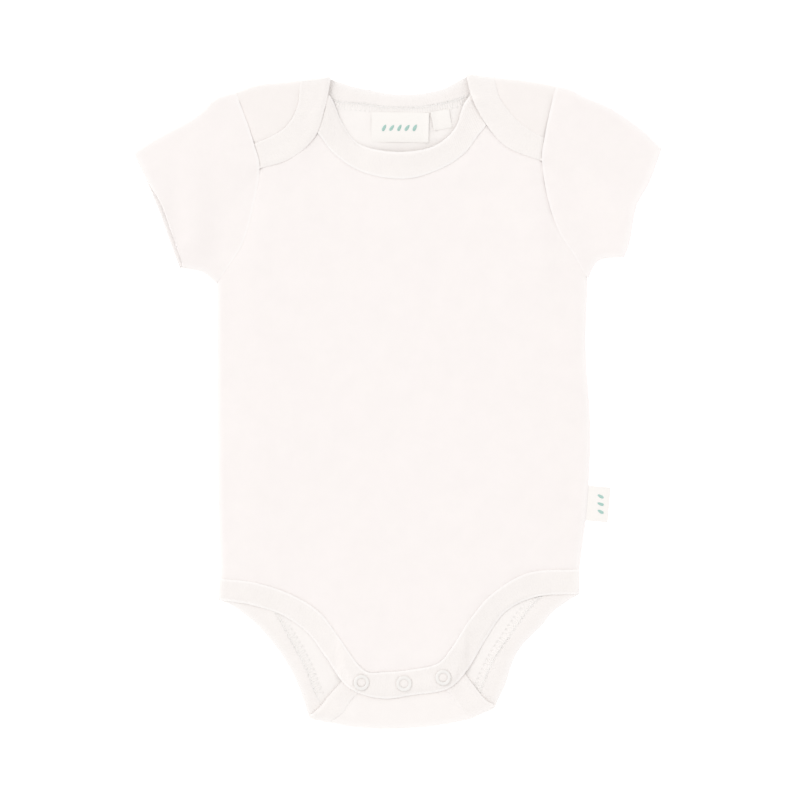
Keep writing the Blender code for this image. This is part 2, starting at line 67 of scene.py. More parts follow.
# Cloth
JERSEY = 0.7               # thickness of the jersey
RIB = 0.5                  # thickness of one layer of a doubled band
BAND = 1.5                 # doubled band
PROUD = 0.4                # how far a front band stands above the panel it edges
SHOULDER_FOLD = 2.6        # outer radius of the back where it turns over the shoulder
CROTCH_FOLD = 1.8          # outer radius of the back where it turns up at the crotch
AT_SHOULDER = (SHOULDER_FOLD, -1)      # a fold's radius, and the way in y to the cloth from it
AT_CROTCH = (CROTCH_FOLD, 1)
FOLD_STEPS = 12            # steps round a fold
SIDE_TOP = 2.6             # height of the front's face along the side seams
BODY_TOP = 3.8             # height of the front's face in mid body
CUFF_TOP = 3.6             # height of a sleeve's face along its cuff
SLEEVE_CROWN = 0.7         # how much higher a sleeve is in its middle

LEFT_SIDE, RIGHT_SIDE = -109, 114      # x where the front's slopes begin, along the side seams
SIDE_SLOPE = 30            # width of each slope

# How the cloth changes on the way along y: (where it starts, where it is whole, height or share)
LEG_END_RISE = (-80, -105, 0.5)        # over the leg bands' outer ends
SHOULDER_SINK = (100, 130, -0.9)       # under the laps
NECK_RISE = (100, 135, 1.2)            # over the labels
NECK_RISE_REACH = 24
CROTCH_RISE = (-105, -155, 1.8)        # over the flap
CROTCH_RISE_REACH = 60
LAP_SINK = (160, 140, -0.4)            # at the laps' armhole ends
LAP_GAPE_START = (186, 180, 1.0)       # down from the shoulder fold
INSIDE_NECK = (125, 145, 1.0)          # where the back shows inside the neck
FLAP_SINK = (-188, -174, -0.8)         # under the snaps
LEFT_DEEP = (122, 136, 1.0)            # where the groove round the left armhole gets deep
RIGHT_DEEP = (98, 114, 1.0)
SLEEVE_STEP = (-5, 4, 1.0)             # from the lap's corner at the armhole
# The same along x
NECK_THIN = (-10, -22, 0.4)            # how far the front neck band's edge thins, towards its left
# The same, where the way is the distance from the fold: where the laps' folds, and the
# relief of the laps and of the flap, start
LAP_FOLD_START = (1, 9, 1.0)
LAP_DETAIL = (0.5, 5.5, 1.0)
FLAP_DETAIL = (0.5, 4.5, 1.0)
# The same, where it is the distance from the neck's middle
NECK_MIDDLE = 2
BESIDE_NECK_BAND = (52, 60, 1.0)       # where the laps no longer lie on the front neck band
# The same, where it is the distance from the flap's middle
FLAP_MIDDLE = 3
FLAP_SINK_END = (34, 44, 1.0)
BESIDE_FLAP = (35.6, 40.6, 1.0)        # where the front lies on the back, not on the flap
OVER_LEG_BAND = (74, 86, 1.0)          # where it lies on the back's leg bands
WIDER_REACH = (31, 41, 7.6)            # how much further from its edge the front settles
LEG_DROOP = (38, 52, 0.55)             # how far the front leg band thins towards its free edge
BACK_GAP = (44, 50, 0.3)               # where the back rises under the front leg band
BACK_GAP_END = (84, 78, 1.0)

# How the front's free edges lie: heights, and how far they reach along the edge and from it
NECK_GAPE, NECK_GAPE_SPAN, NECK_GAPE_REACH = 0.9, 34, 6
LEG_GAPE, LEG_GAPE_SPAN, LEG_GAPE_REACH = 0.2, 14, 5
LEG_GAPE_PLACE = 84        # how far out from the garment's middle
NECK_SETTLE_REACH = 8
LEG_SETTLE_REACH = 3.4
PRESS_REACH = 2.5
LAP_REACH = 7              # how far the front follows a lap, from the lap's edge
COVERED_REACH = 2          # how far under a lap's edge its doubled band gets its whole thickness

# How the back rises from the table: inside the neck, at its bands' seams and in the gap
BACK_WAVE, BACK_WAVE_SIZE, INSIDE_NECK_REACH = 0.2, 24, 45
BACK_SEAM, BACK_SEAM_REACH, BACK_SEAM_END = 0.55, 2.2, 5
BACK_GAP_REACH = 3

SIDE_ROLL = 5.0            # width of the roll along the side edges
SIDE_EDGE = JERSEY + 0.1   # height of the front's face at those edges

# How fine the cloth is: pieces from one row of a table to the next
HOLE_PIECES = 12           # armholes of the front and the sleeves
BAND_PIECES = 9            # the front's seams at its bands
BACK_HOLE_PIECES = 8
BACK_NECK_PIECES = 8
BACK_LEG_PIECES = 4
LAP_PIECES = 8
FLAP_PIECES = 5
# and pieces along a whole line
SIDE_PIECES = 72
BACK_SIDE_PIECES = 60
SHOULDER_PIECES = 16
CROTCH_PIECES = 32
FRONT_COLUMNS = (110, 0.014, 0.014)    # pieces, and how near the ends they get finer
FRONT_ROWS = (150, 0.008, 0.008)

# Side seams, from the leg to the underarm: (x, y)
SIDE_LEFT = [(-107, -106), (-108.3, -60), (-109, 0), (-109, 70.5)]
SIDE_RIGHT = [(109, -100.5), (113.4, -68), (116, -19), (113.2, 30), (114.3, 73)]

# Armholes, from the underarm to the fold over the shoulder: (x, y).
# Rows 4, 5 and 6 are where the lap's edge, the lap's seam and the front
# band's seam are caught in the armhole.
ARMHOLE_LEFT = [
    (-109, 70.5), (-101.5, 81), (-92.5, 95.5), (-86.5, 116),
    (-82.6, 139.5), (-86, 154.5), (-90, 167), (-96.3, 183.9),
]
ARMHOLE_RIGHT = [
    (114.3, 73), (106, 87.5), (97, 101.5), (90.5, 120),
    (86.5, 144), (88, 158), (90.5, 171), (94.3, 187.4),
]
LAP_EDGE_ROW, LAP_SEAM_ROW, FRONT_SEAM_ROW = 4, 5, 6

# Outermost line of the shoulder folds, from the armhole to the back band: (x, y)
SHOULDER_LEFT = [(-96.3, 186.5), (-84, 190.6), (-71, 192), (-58.5, 193.3)]
SHOULDER_RIGHT = [(94.3, 190), (84, 192), (72, 193.6), (58.3, 195)]

# Outermost line of the crotch fold between its bands: (x, y)
CROTCH = [
    (-39.5, -193.2), (-28, -195.3), (-10, -196.7), (2, -196.6), (19, -195.3), (32, -193.3), (43.5, -190.8),
]

# Bands: (seam x, seam y, edge x, edge y)
NECK_FRONT = [
    (-90, 167, -93.7, 179.5), (-73, 170, -75, 185.3), (-58, 168.5, -54, 187.5),
    (-48, 160.8, -41.2, 184), (-38.5, 149, -33.5, 168), (-25.5, 139.5, -24, 155.3),
    (-9, 134.3, -8.5, 150.3), (9, 133.9, 9, 150), (27, 140, 23.5, 154),
    (40, 148.7, 34.5, 164), (50, 161.5, 40.7, 180), (60, 171.5, 52, 189),
    (76, 173.5, 74.5, 187.5), (90.5, 171, 92.2, 183),
]
LEG_FRONT = [
    (-107, -106, -107.7, -119), (-84, -108.8, -88, -122), (-62, -116.5, -68.5, -128.5),
    (-46, -127, -53.5, -139.5), (-34.5, -142, -43, -153.5), (-20.5, -160.5, -29.5, -171.5),
    (-8, -162, -10, -178), (8, -160.5, 9, -176), (23.5, -157, 29.5, -172.5),
    (32, -148, 41.5, -161.5), (43, -131, 53, -142.5), (57, -115, 65, -126),
    (79, -102.5, 84, -117), (109, -100.5, 109.5, -115.5),
]
LAP_LEFT = [
    (-86, 154.5, -82.6, 139.5), (-75, 159.3, -64.1, 145.6), (-66, 165.7, -49.6, 158.4),
    (-60, 177, -43, 177.8), (-58.5, 193.3, -40, 195.8),
]
NECK_BACK = [
    (-58.5, 193.3, -40, 195.8), (-46.5, 184, -35.5, 192), (-34, 179.3, -26, 189),
    (-21, 178.3, -16, 187), (-7, 176.4, -5.5, 184.9), (8, 175.9, 6, 184.3),
    (21, 177.5, 17.5, 185.4), (34, 180.3, 28, 188), (47, 185.5, 36, 192.2),
    (58.3, 195, 41.3, 197.4),
]
LAP_RIGHT = [
    (58.3, 195, 41.3, 197.4), (61, 182.5, 44.5, 182), (68, 172.5, 52.5, 167),
    (77, 164.3, 65.5, 152.5), (88, 158, 86.5, 144),
]
LEG_BACK_LEFT = [
    (-107, -105.5, -107.7, -119), (-94, -109.8, -99, -122.7), (-82, -117.5, -91, -128.5),
    (-73, -126.5, -83, -135.5), (-66, -139, -76, -143.5), (-59.5, -150.5, -69.5, -152),
    (-54.5, -160, -64.5, -160.5), (-50.8, -170, -60, -169.5), (-46.5, -180.5, -56.5, -179.5),
    (-39.5, -193.2, -53.3, -190.8),
]
FLAP_LEFT = [
    (-39.5, -193.2, -53.3, -190.8), (-33, -187, -46.5, -183), (-28, -179.5, -40, -175),
    (-22, -173.5, -29.5, -163.5),
]
FLAP_TOP = [
    (-22, -173.5, -29.5, -163.5), (-10, -174, -12, -163.5), (3, -173.8, 4, -163.3),
    (15, -172.5, 20, -161), (27.5, -171, 37, -158.5),
]
FLAP_RIGHT = [
    (27.5, -171, 37, -158.5), (34, -178.5, 46, -170.5), (39, -185, 53, -178.8),
    (43.5, -190.8, 59, -184),
]
LEG_BACK_RIGHT = [
    (43.5, -190.8, 59, -184), (47.5, -180, 61.5, -177), (50.5, -170.5, 65, -169.5),
    (54, -161.5, 68, -160), (59, -152, 71.5, -151.5), (65, -143, 77.5, -143.5),
    (72, -133, 85.5, -135.8), (80, -122.5, 93, -126.7), (92, -110.5, 101.5, -120.3),
    (109.2, -101, 109.3, -115.5),
]

# Sleeves: (x, y), from the body outwards along the top and the underarm,
# and from the underarm to the top along the cuff
SLEEVE_TOP_LEFT = [(-96.3, 186.5), (-109, 182.5), (-116, 176), (-125, 169), (-145.5, 158), (-158, 149.5)]
SLEEVE_UNDER_LEFT = [(-109.4, 71), (-115, 76), (-120, 78), (-130, 79.5)]
CUFF_LEFT = [(-130, 79.5), (-136, 95.5), (-142.5, 114), (-150.5, 133), (-158, 149.5)]
SLEEVE_TOP_RIGHT = [(94.3, 190), (103, 188.3), (112, 183.5), (128.5, 176), (146, 164), (158.3, 152.3)]
SLEEVE_UNDER_RIGHT = [(115, 73.8), (118, 81), (123, 85), (135.5, 86)]
CUFF_RIGHT = [(135.5, 86), (139, 96), (143, 117), (151, 132), (158.3, 152.3)]

# Soft folds: (from x, from y, to x, to y, half width, height)
FOLDS = [
    (88, 130, 97, 92, 6, -0.5), (78, 118, 90, 84, 7, 0.5), (-84, 126, -92, 94, 6, -0.4),
    (-76, 112, -86, 82, 8, 0.4), (100, 158, 137, 112, 8, 1.3), (104, 132, 120, 100, 7, -0.6),
    (-119, 152, -121, 98, 8, 1.1), (-105, 112, -108, 88, 7, -0.6), (-134, 124, -132, 100, 6, -0.6),
]
LAP_FOLDS = [(86, 190, 85, 163, 7, -0.4), (64.5, 194, 67, 181, 6, 0.6), (-74, 190, -73, 168, 8, -0.3)]

# Round rises: (middle x, middle y, reach, height)
NECK_SETTLED = [(-31, 162, 20, 1.0), (-40, 182, 10, 0.5), (32, 160, 12, 0.35)]    # as a share
FLAP_SINKS = [(-34, -165, 9, 0.7), (41, -162, 9, 0.7), (-42, -177, 7, 0.7), (47, -171.5, 7, 0.45)]
LAP_GAPES = [(-37, 177, 10, 0.2), (41, 180, 13, 2.0)]

# Dimples that the snaps press into the band: depth, radius and reach; and the full cloth inside them
SNAP_DIP, SNAP_DIP_RADIUS, SNAP_DIP_REACH = 0.45, 3.85, 1.3
SNAP_FULL, SNAP_FULL_REACH = 0.1, 1.5
SNAP_SUNK = 0.25           # how deep a cap sits in its dimple

# Snaps, from left to right: (x, y)
SNAPS = [(-21.6, -168.3), (3.9, -168.9), (27.3, -165.3)]

# Labels: (middle x, middle y, width, height, turn in degrees)
NECK_LABEL = (1.5, 164.5, 34.5, 18, -1)
SIZE_LABEL = (26.3, 169, 11.2, 11.4, 10)
SIDE_LABEL = (120.6, -61.5, 13.2, 21.4, -5)

# Seams and sewing
GROOVE = 0.16              # depth of the groove at a seam
GROOVE_WIDTH = 0.6
DIP = 0.2                  # depth of the soft dip on both sides of it
DIP_WIDTH = 3.0
PUCKER_REACH = 5.0         # how far the puckers run from a seam
PUCKER_SIZE = 6.5          # their length along it
ARMHOLE_PUCKER = 0.2       # height of the laps' and the sleeves' puckers round the armholes
FRONT_HOLE_PUCKER = 0.22
BAND_SHARE = 0.45          # of GROOVE, at the front's bands
CLOSING_SHARE = 0.7        # of GROOVE, more than that beside the snaps
CLOSING_REACH = 24
BAND_PUCKER = 0.16
LAP_SHARES = (2.2, 0.5)    # of GROOVE, at the left and the right lap
LAP_PUCKER = 0.12
FLAP_SHARE = 0.4           # of GROOVE, at the flap's sides
FLAP_PUCKER = 0.15
HOLE_GROOVE = 0.14         # depth of the groove round the armholes
HOLE_DEEPER = 0.6          # how much deeper it gets beside the laps
LEFT_CORNER = (138.5, 3.5, 0.6)        # a lap's corner there: y, reach, and the share taken off
RIGHT_CORNER = (146.7, 4, 0.8)
SOFT_WAVES = [(0.16, 52, 3), (0.07, 19, 8)]      # the cloth's unevenness: (height, size, seed)
LAP_SOFT, FLAP_SOFT, SLEEVE_SOFT = 0.8, 0.6, 1.1      # its amount where it isn't 1
CUT_TURN = 400             # twice the |y| about which the cut coordinates turn at a fold
LIE = 0.15                 # air between cloths that lie on each other
BACK_TOP = JERSEY + 0.3    # lowest place of a front band's underside over the back
BAND_FOLD = 1.28           # from a band's face down to its underside, at its free edge
PRESS = 0.35               # how far the front rises beside the laps that press on it
STITCH = 3.0               # length of a stitch of the coverstitch
COVER = (-0.9, 4.0)        # the coverstitch's two rows, from the band to the panel


# Numbers and curves

def ease(t):
    """Smooth step from 0 to 1."""
    t = np.clip(t, 0.0, 1.0)
    return t * t * (3 - 2 * t)


def change(place, start, whole, height=1.0):
    """A smooth change that is 0 up to start and has its whole height from whole on."""
    return height * ease((place - start) / (whole - start))


def bell(away, reach, power=2):
    """1 where away is 0, fading over reach; a higher power fades later and faster."""
    return np.exp(-(away / reach) ** power)


def spline(rows, pieces):
    """Points on the smooth curve through rows of any width, with pieces between two rows."""
    places = np.array(rows, float)
    ends = np.vstack([2 * places[0] - places[1], places, 2 * places[-1] - places[-2]])
    t = (np.arange(pieces) / pieces)[:, None]
    curve = []
    for before, start, end, after in zip(ends, ends[1:], ends[2:], ends[3:]):
        curve.append(0.5 * (2 * start + (end - before) * t
                            + (2 * before - 5 * start + 4 * end - after) * t ** 2
                            + (3 * start - before - 3 * end + after) * t ** 3))
    return np.vstack(curve + [places[-1:]])


def lengths_along(line):
    """Length from a line's start to each of its points."""
    return np.concatenate([[0.0], np.cumsum(np.linalg.norm(np.diff(line, axis=0), axis=1))])


def pick(line, wanted, places):
    """Rows of a line at the wanted places, where places are those of its own rows."""
    return np.stack([np.interp(wanted, places, column) for column in np.transpose(line)], -1)


def sample(line, wanted):
    """Points of a line at places from 0 to 1 of its count of points."""
    return pick(line, wanted, np.linspace(0, 1, len(line)))


def even_line(rows, pieces):
    """Points on the smooth curve through rows, at equal lengths along it."""
    fine = spline(rows, 24)
    along = lengths_along(fine)
    return pick(fine, np.linspace(0, along[-1], pieces + 1), along)


def chain(*runs):
    """One run of points from several that meet end to end."""
    return np.vstack([runs[0]] + [run[1:] for run in runs[1:]])


def graded(count, near_start=0.0, near_end=0.0):
    """Places from 0 to 1, closer together near an end whose part is above 0: seams need fine cloth."""
    steps = np.array([0.0, 0.12, 0.28, 0.5, 0.75])
    inner = np.linspace(near_start, 1 - near_end, count + 1)
    start = near_start * steps if near_start else []
    end = 1 - near_end * steps[::-1] if near_end else []
    return np.concatenate([start, inner, end])


def patch(bottom, top, left, right, across, along):
    """A grid of points that fills the area between four lines (a Coons patch)."""
    bottom, top = sample(bottom, across), sample(top, across)
    left, right = sample(left, along), sample(right, along)
    u, v = across[None, :, None], along[:, None, None]
    ruled = bottom[None] * (1 - v) + top[None] * v + left[:, None] * (1 - u) + right[:, None] * u
    low = bottom[0] * (1 - u) + bottom[-1] * u
    high = top[0] * (1 - u) + top[-1] * u
    return ruled - low * (1 - v) - high * v


def nearest(points, line):
    """Distance from each point to a line, and how far along the line its nearest place is."""
    line = np.asarray(line)[:, :2]
    flat = points[..., :2].reshape(-1, 2)
    best = np.full(len(flat), np.inf)
    where = np.zeros(len(flat))
    for start, run, before in zip(line, np.diff(line, axis=0), lengths_along(line)):
        size = np.hypot(*run)
        if size == 0:
            continue
        t = np.clip((flat - start) @ run / size ** 2, 0, 1)
        away = np.hypot(*(flat - start - t[:, None] * run).T)
        closer = away < best
        best[closer] = away[closer]
        where[closer] = before + t[closer] * size
    return best.reshape(points.shape[:-1]), where.reshape(points.shape[:-1])


def turned(middle, u, v, degrees):
    """The x and y of places u and v in a pattern that is turned about its middle."""
    cosine, sine = math.cos(math.radians(degrees)), math.sin(math.radians(degrees))
    return middle[0] + u * cosine - v * sine, middle[1] + u * sine + v * cosine


# Relief of the cloth

def ripple(x, y, size, seed):
    """Soft uneven relief from about -1 to 1 with lumps of about the given size."""
    rng = np.random.default_rng(seed)
    total = 0
    for angle, phase, stretch in rng.uniform((0, 0, 0.8), (FULL, FULL, 1.7), (7, 3)):
        wave = (x * math.cos(angle) + y * math.sin(angle)) / (size * stretch)
        total = total + np.sin(FULL * wave + phase)
    return total / 3.5


def uneven_wave(along, size, seed):
    """A wave along a seam whose length and height change on the way."""
    a, b, c, d = np.random.default_rng(seed).uniform(0, FULL, 4)
    drift = 1.7 * np.sin(FULL * along / (size * 6.3) + a) + 0.9 * np.sin(FULL * along / (size * 2.9) + b)
    height = 0.55 + 0.45 * np.sin(FULL * along / (size * 4.1) + c)
    return height * np.sin(FULL * along / size + drift + d)


def puckers(away, reach, along, size, seed):
    """Puckers beside a seam: none on it, the highest close to it, and fading over reach."""
    return np.exp(-away / reach) * (1 - np.exp(-away ** 2)) * uneven_wave(along, size, seed)


def humps(x, y, rows):
    """Height of round rises from rows of (middle x, middle y, reach, height)."""
    return sum(height * bell(np.hypot(x - middle_x, y - middle_y), reach)
               for middle_x, middle_y, reach, height in rows)


def fold_relief(x, y, folds):
    """Height of the soft folds: each a rounded ridge or trough that fades at its ends."""
    relief = 0.0
    for from_x, from_y, to_x, to_y, half_width, height in folds:
        run_x, run_y = to_x - from_x, to_y - from_y
        along = np.clip(((x - from_x) * run_x + (y - from_y) * run_y) / (run_x ** 2 + run_y ** 2), 0, 1)
        away = np.hypot(x - from_x - run_x * along, y - from_y - run_y * along)
        relief = relief + height * bell(away, half_width)
    return relief


def soft_body(x, y, amount=1.0):
    """The slight unevenness of cloth that has been smoothed by hand."""
    return amount * sum(height * ripple(x, y, size, seed) for height, size, seed in SOFT_WAVES)


def seam_relief(points, seams, seed):
    """Grooves along seams, with the puckers beside them; seams is a list of (line, groove, pucker).

    A groove is a depth, or the depths at the points, and a deep one is wider.
    """
    relief = np.zeros(points.shape[:-1])
    for number, (line, groove, pucker) in enumerate(seams):
        away, along = nearest(points, line)
        relief -= groove * bell(away, GROOVE_WIDTH * (1 + groove)) + DIP * bell(away, DIP_WIDTH)
        relief += pucker * puckers(away, PUCKER_REACH, along, PUCKER_SIZE, seed + number)
    return relief


def armhole_groove(x, y):
    """Depth of the groove round an armhole: deep beside the lap but at its corner, faint at the underarm."""
    left, right = (change(y, *deep) * (1 - less * bell(y - corner, reach)) for deep, (corner, reach, less)
                   in ((LEFT_DEEP, LEFT_CORNER), (RIGHT_DEEP, RIGHT_CORNER)))
    return HOLE_GROOVE + HOLE_DEEPER * np.where(x < 0, left, right)


# Faces of the panels as they lie

def front_top(x, y):
    """Height of the front's outside face: low at the side seams, raised at the crotch and neck."""
    inwards = ease(np.minimum(x - LEFT_SIDE, RIGHT_SIDE - x) / SIDE_SLOPE)
    height = SIDE_TOP + (BODY_TOP - SIDE_TOP) * inwards
    height = height + change(y, *LEG_END_RISE) * (1 - inwards)
    height = height + change(y, *SHOULDER_SINK)
    height = height + change(y, *NECK_RISE) * bell(x, NECK_RISE_REACH)
    height = height + change(y, *CROTCH_RISE) * bell(x, CROTCH_RISE_REACH, 4)
    return height + fold_relief(x, y, FOLDS)


def below_shoulder(x, y):
    """Distance in y from where the laps leave the shoulder folds."""
    line = np.array(SHOULDER_LEFT + SHOULDER_RIGHT[::-1])
    return np.interp(x, line[:, 0], line[:, 1]) - SHOULDER_FOLD - y


def lap_top(x, y):
    """Height of a lap's outside face: level with the shoulder fold, lower at its armhole end."""
    height = 2 * SHOULDER_FOLD + change(y, *LAP_SINK)
    return height + fold_relief(x, y, LAP_FOLDS) * change(below_shoulder(x, y), *LAP_FOLD_START)


def lap_face(x, y):
    """A lap's outside face: its inner edge gapes at the neck's corner."""
    return lap_top(x, y) + humps(x, y, LAP_GAPES) * change(y, *LAP_GAPE_START)


def flap_face(x, y):
    """The crotch flap's outside face: it sinks under the snaps, and its outer edges lie down."""
    middle = 1 - change(abs(x - FLAP_MIDDLE), *FLAP_SINK_END)
    return 2 * CROTCH_FOLD + change(y, *FLAP_SINK) * middle - humps(x, y, FLAP_SINKS)


def table_level(x, y):
    """Height of the back's outside face, which rests on the table."""
    return 0.0 * x


def from_edge(x, y, rows):
    """Distance of places from the free edge of a band, and 1 where they lie under the band, else 0."""
    places = np.stack(np.broadcast_arrays(x, y), -1)
    line = spline(rows, 6)
    away, along = nearest(places, line[:, 2:])
    here = pick(line, along, lengths_along(line[:, 2:]))
    seam, edge = here[..., :2], here[..., 2:]
    return away, (np.sum((places - edge) * (seam - edge), -1) > 0).astype(float)


def front_face(x, y):
    """The front's outside face as it lies: up against the laps, and down on what its lower edge covers.

    Its neck edge gapes in the middle, and its leg edges gape near the side seams.
    """
    height = front_top(x, y)
    away = from_edge(x, y, NECK_FRONT)[0]
    height = height + NECK_GAPE * bell(x - NECK_MIDDLE, NECK_GAPE_SPAN, 4) * bell(away, NECK_GAPE_REACH)
    room = np.maximum(height + PROUD - BAND_FOLD - BACK_TOP, 0)
    height = height - room * humps(x, y, NECK_SETTLED) * bell(away, NECK_SETTLE_REACH)
    away = from_edge(x, y, LEG_FRONT)[0]
    height = height + LEG_GAPE * bell(abs(x) - LEG_GAPE_PLACE, LEG_GAPE_SPAN) * bell(away, LEG_GAPE_REACH)
    aside = abs(x - FLAP_MIDDLE)
    beside = change(aside, *BESIDE_FLAP)
    under = flap_face(x, y) * (1 - beside) + BACK_TOP * beside
    under = under + (BAND - BACK_TOP) * change(aside, *OVER_LEG_BAND)
    room = np.maximum(front_top(x, y) + PROUD - BAND_FOLD - under - LIE, 0)
    height = height - room * bell(away, LEG_SETTLE_REACH + change(aside, *WIDER_REACH))
    over_band = PROUD * (1 - change(abs(x - NECK_MIDDLE), *BESIDE_NECK_BAND))
    for rows in (LAP_LEFT, LAP_RIGHT):
        away, covered = from_edge(x, y, rows)
        lifted = lap_top(x, y) - BAND_FOLD - LIE - over_band
        lifted = lifted - (BAND - BAND_FOLD) * covered * ease(away / COVERED_REACH)
        lifted = lifted + PRESS * bell(away, PRESS_REACH) * (1 - covered)
        height = height + np.maximum(lifted - height, 0) * bell(away, LAP_REACH)
    return height


# Materials

BODY_COLOUR = (0.93, 0.881, 0.862)
BAND_COLOUR = (0.915, 0.872, 0.847)
BACK_COLOUR = (0.915, 0.866, 0.840)
# the back's inside face, which shows in the neck and leg openings: a lighter copy of its jersey, painted
# light that lifts the shade there
INSIDE_COLOUR = (0.932, 0.893, 0.868)
WHITER = (1, 0.985, 0.975, 1)          # what the cloth's colour runs to: the painted highlight at the outline and along seams and folded edges, and the flap's lighter tone
LIT_EDGE = 0.34            # painted highlight: how much whiter the cloth is painted at the garment's outline
LIT_WIDTH = 5.0            # how far inwards that reaches
EDGE_HIGHLIGHT_FROM, EDGE_HIGHLIGHT_WHOLE = 1.8, 0.7       # cut coordinates between which the painted highlight along seams and folded edges fades in
FLAP_FROM, FLAP_WHOLE = -170 * MM, -177 * MM     # y between which the crotch flap does
KNIT_WALE = 0.75           # width of one column of stitches
KNIT_COURSE = 0.6          # height of one row of stitches
RIB_PITCH = 1.5
SWAY_SCALE = 0.35          # of the noise by which the knit's lines sway
WALE_SWAY, COURSE_SWAY = 0.9, 1.3      # in columns and in rows
SLANT = 1.1                # how steeply a V's legs rise, in rows to a column
MOTTLE_SCALE, FUZZ_SCALE = 90.0, 5200.0
MOTTLE_DEPTH, STITCH_DEPTH, FUZZ_DEPTH = 0.0006, 0.00005, 0.00003      # metres
WARP_PITCH, WEFT_PITCH = 0.3, 0.45     # of the labels' tape


class Shader:
    """A material whose nodes are made by short calls."""

    def __init__(self, name):
        self.material = bpy.data.materials.new(name)
        self.material.use_nodes = True
        self.tree = self.material.node_tree

    def feed(self, node, inputs):
        """Set a node's inputs to values, or link them to the outputs given for them."""
        for key, value in inputs.items():
            if isinstance(value, bpy.types.NodeSocket):
                self.tree.links.new(value, node.inputs[key])
            else:
                node.inputs[key].default_value = value

    def add(self, kind, inputs, output=0, **settings):
        """Output of a new node with the given inputs and settings."""
        node = self.tree.nodes.new(kind)
        for key, value in settings.items():
            setattr(node, key, value)
        self.feed(node, inputs)
        return node.outputs[output]

    def calc(self, operation, *values):
        return self.add("ShaderNodeMath", dict(enumerate(values)), operation=operation)

    def uv(self, layer):
        return self.add("ShaderNodeUVMap", {}, uv_map=layer)

    def place(self):
        return self.add("ShaderNodeTexCoord", {}, "Object")

    def part(self, vector, axis):
        return self.add("ShaderNodeSeparateXYZ", {0: vector}, axis)

    def noise(self, vector, scale, detail=2.0, roughness=0.5):
        inputs = {"Vector": vector, "Scale": scale, "Detail": detail, "Roughness": roughness}
        return self.add("ShaderNodeTexNoise", inputs, "Fac")

    def bump(self, height, distance, strength, **below):
        """Normal with a relief on it, and with the one below it where Normal is given."""
        inputs = {"Height": height, "Distance": distance, "Strength": strength, **below}
        return self.add("ShaderNodeBump", inputs)

    def mix(self, factor, first, second):
        inputs = {"Factor": factor, "A": first, "B": second}
        return self.add("ShaderNodeMix", inputs, "Result", data_type="RGBA")

    def ramp(self, value, low, high, amount=1.0, **settings):
        """Factor that runs from 0 at low to amount at high."""
        inputs = {"Value": value, "From Min": low, "From Max": high, "To Max": amount}
        return self.add("ShaderNodeMapRange", inputs, **settings)

    def tint(self, value, low, high, colour, darkest, lightest=1.0):
        """A colour that runs from a darker shade at low to a lighter one at high."""
        shades = [(*(min(c * factor, 1.0) for c in colour), 1) for factor in (darkest, lightest)]
        return self.mix(self.ramp(value, low, high), *shades)

    def finish(self, inputs):
        """The material, with its surface's inputs."""
        self.feed(self.tree.nodes["Principled BSDF"], inputs)
        return self.material


def cotton(name, colour, rib=0.0, edge_highlight=0.0, flap=0.0):
    """Cotton knit: columns of small Vs that follow the cut, a fine fuzz and a slight mottle.

    rib is the depth of the ribs of a rib knit, in millimetres. The next amount is how much
    painted highlight the cloth gets along its seams and folded edges, where the cut's second
    coordinate is small, and flap how much whiter it is on the crotch flap. All cloth also
    gets a painted highlight towards the garment's outline, standing in for the light that
    comes through it there.
    """
    shader = Shader(name)
    calc, bump = shader.calc, shader.bump
    cut, place = shader.uv("Cut"), shader.place()
    across, along = shader.part(cut, "X"), shader.part(cut, "Y")
    sway = shader.noise(cut, SWAY_SCALE)
    wale = calc("ADD", calc("DIVIDE", across, KNIT_WALE), calc("MULTIPLY", sway, WALE_SWAY))
    course = calc("ADD", calc("DIVIDE", along, KNIT_COURSE), calc("MULTIPLY", sway, COURSE_SWAY))
    from_middle = calc("ABSOLUTE", calc("SUBTRACT", calc("FRACT", wale), 0.5))
    leg = calc("ABSOLUTE", calc("SINE", calc("MULTIPLY", wale, FULL)))
    slant = calc("SUBTRACT", course, calc("MULTIPLY", from_middle, SLANT))
    loop = calc("ABSOLUTE", calc("SINE", calc("MULTIPLY", slant, math.pi)))
    stitch = calc("MULTIPLY", calc("POWER", leg, 0.5), calc("ADD", loop, 0.6))
    mottle = shader.noise(place, MOTTLE_SCALE, 3.0, 0.6)
    normal = bump(mottle, MOTTLE_DEPTH, 0.14)
    if rib:
        normal = bump(calc("SINE", calc("MULTIPLY", across, FULL / RIB_PITCH)), rib * MM, 0.4, Normal=normal)
    normal = bump(stitch, STITCH_DEPTH, 0.55, Normal=normal)
    normal = bump(shader.noise(place, FUZZ_SCALE, 2.0, 0.7), FUZZ_DEPTH, 0.4, Normal=normal)
    # painted shade: the knit is darker where its loops are low, between the wales; the mottle on top is real
    # random tone
    tint = shader.tint(calc("ADD", calc("MULTIPLY", stitch, 0.3), mottle), 0.35, 1.15, colour, 0.975, 1.008)
    # painted highlights: whiter towards the outline and along the seams and folded edges; the flap is whiter
    # too
    for distance, far, near, amount in (
            (shader.part(shader.uv("Edge"), "X"), LIT_WIDTH, 0.0, LIT_EDGE),
            (along, EDGE_HIGHLIGHT_FROM, EDGE_HIGHLIGHT_WHOLE, edge_highlight), (shader.part(place, "Y"), FLAP_FROM, FLAP_WHOLE, flap)):
        if amount:
            tint = shader.mix(shader.ramp(distance, far, near, amount, interpolation_type="SMOOTHSTEP"),
                              tint, WHITER)
    return shader.finish({"Base Color": tint, "Normal": normal, "Roughness": 0.92, "Specular IOR Level": 0.2,
                          "Sheen Weight": 0.45, "Sheen Roughness": 0.35})


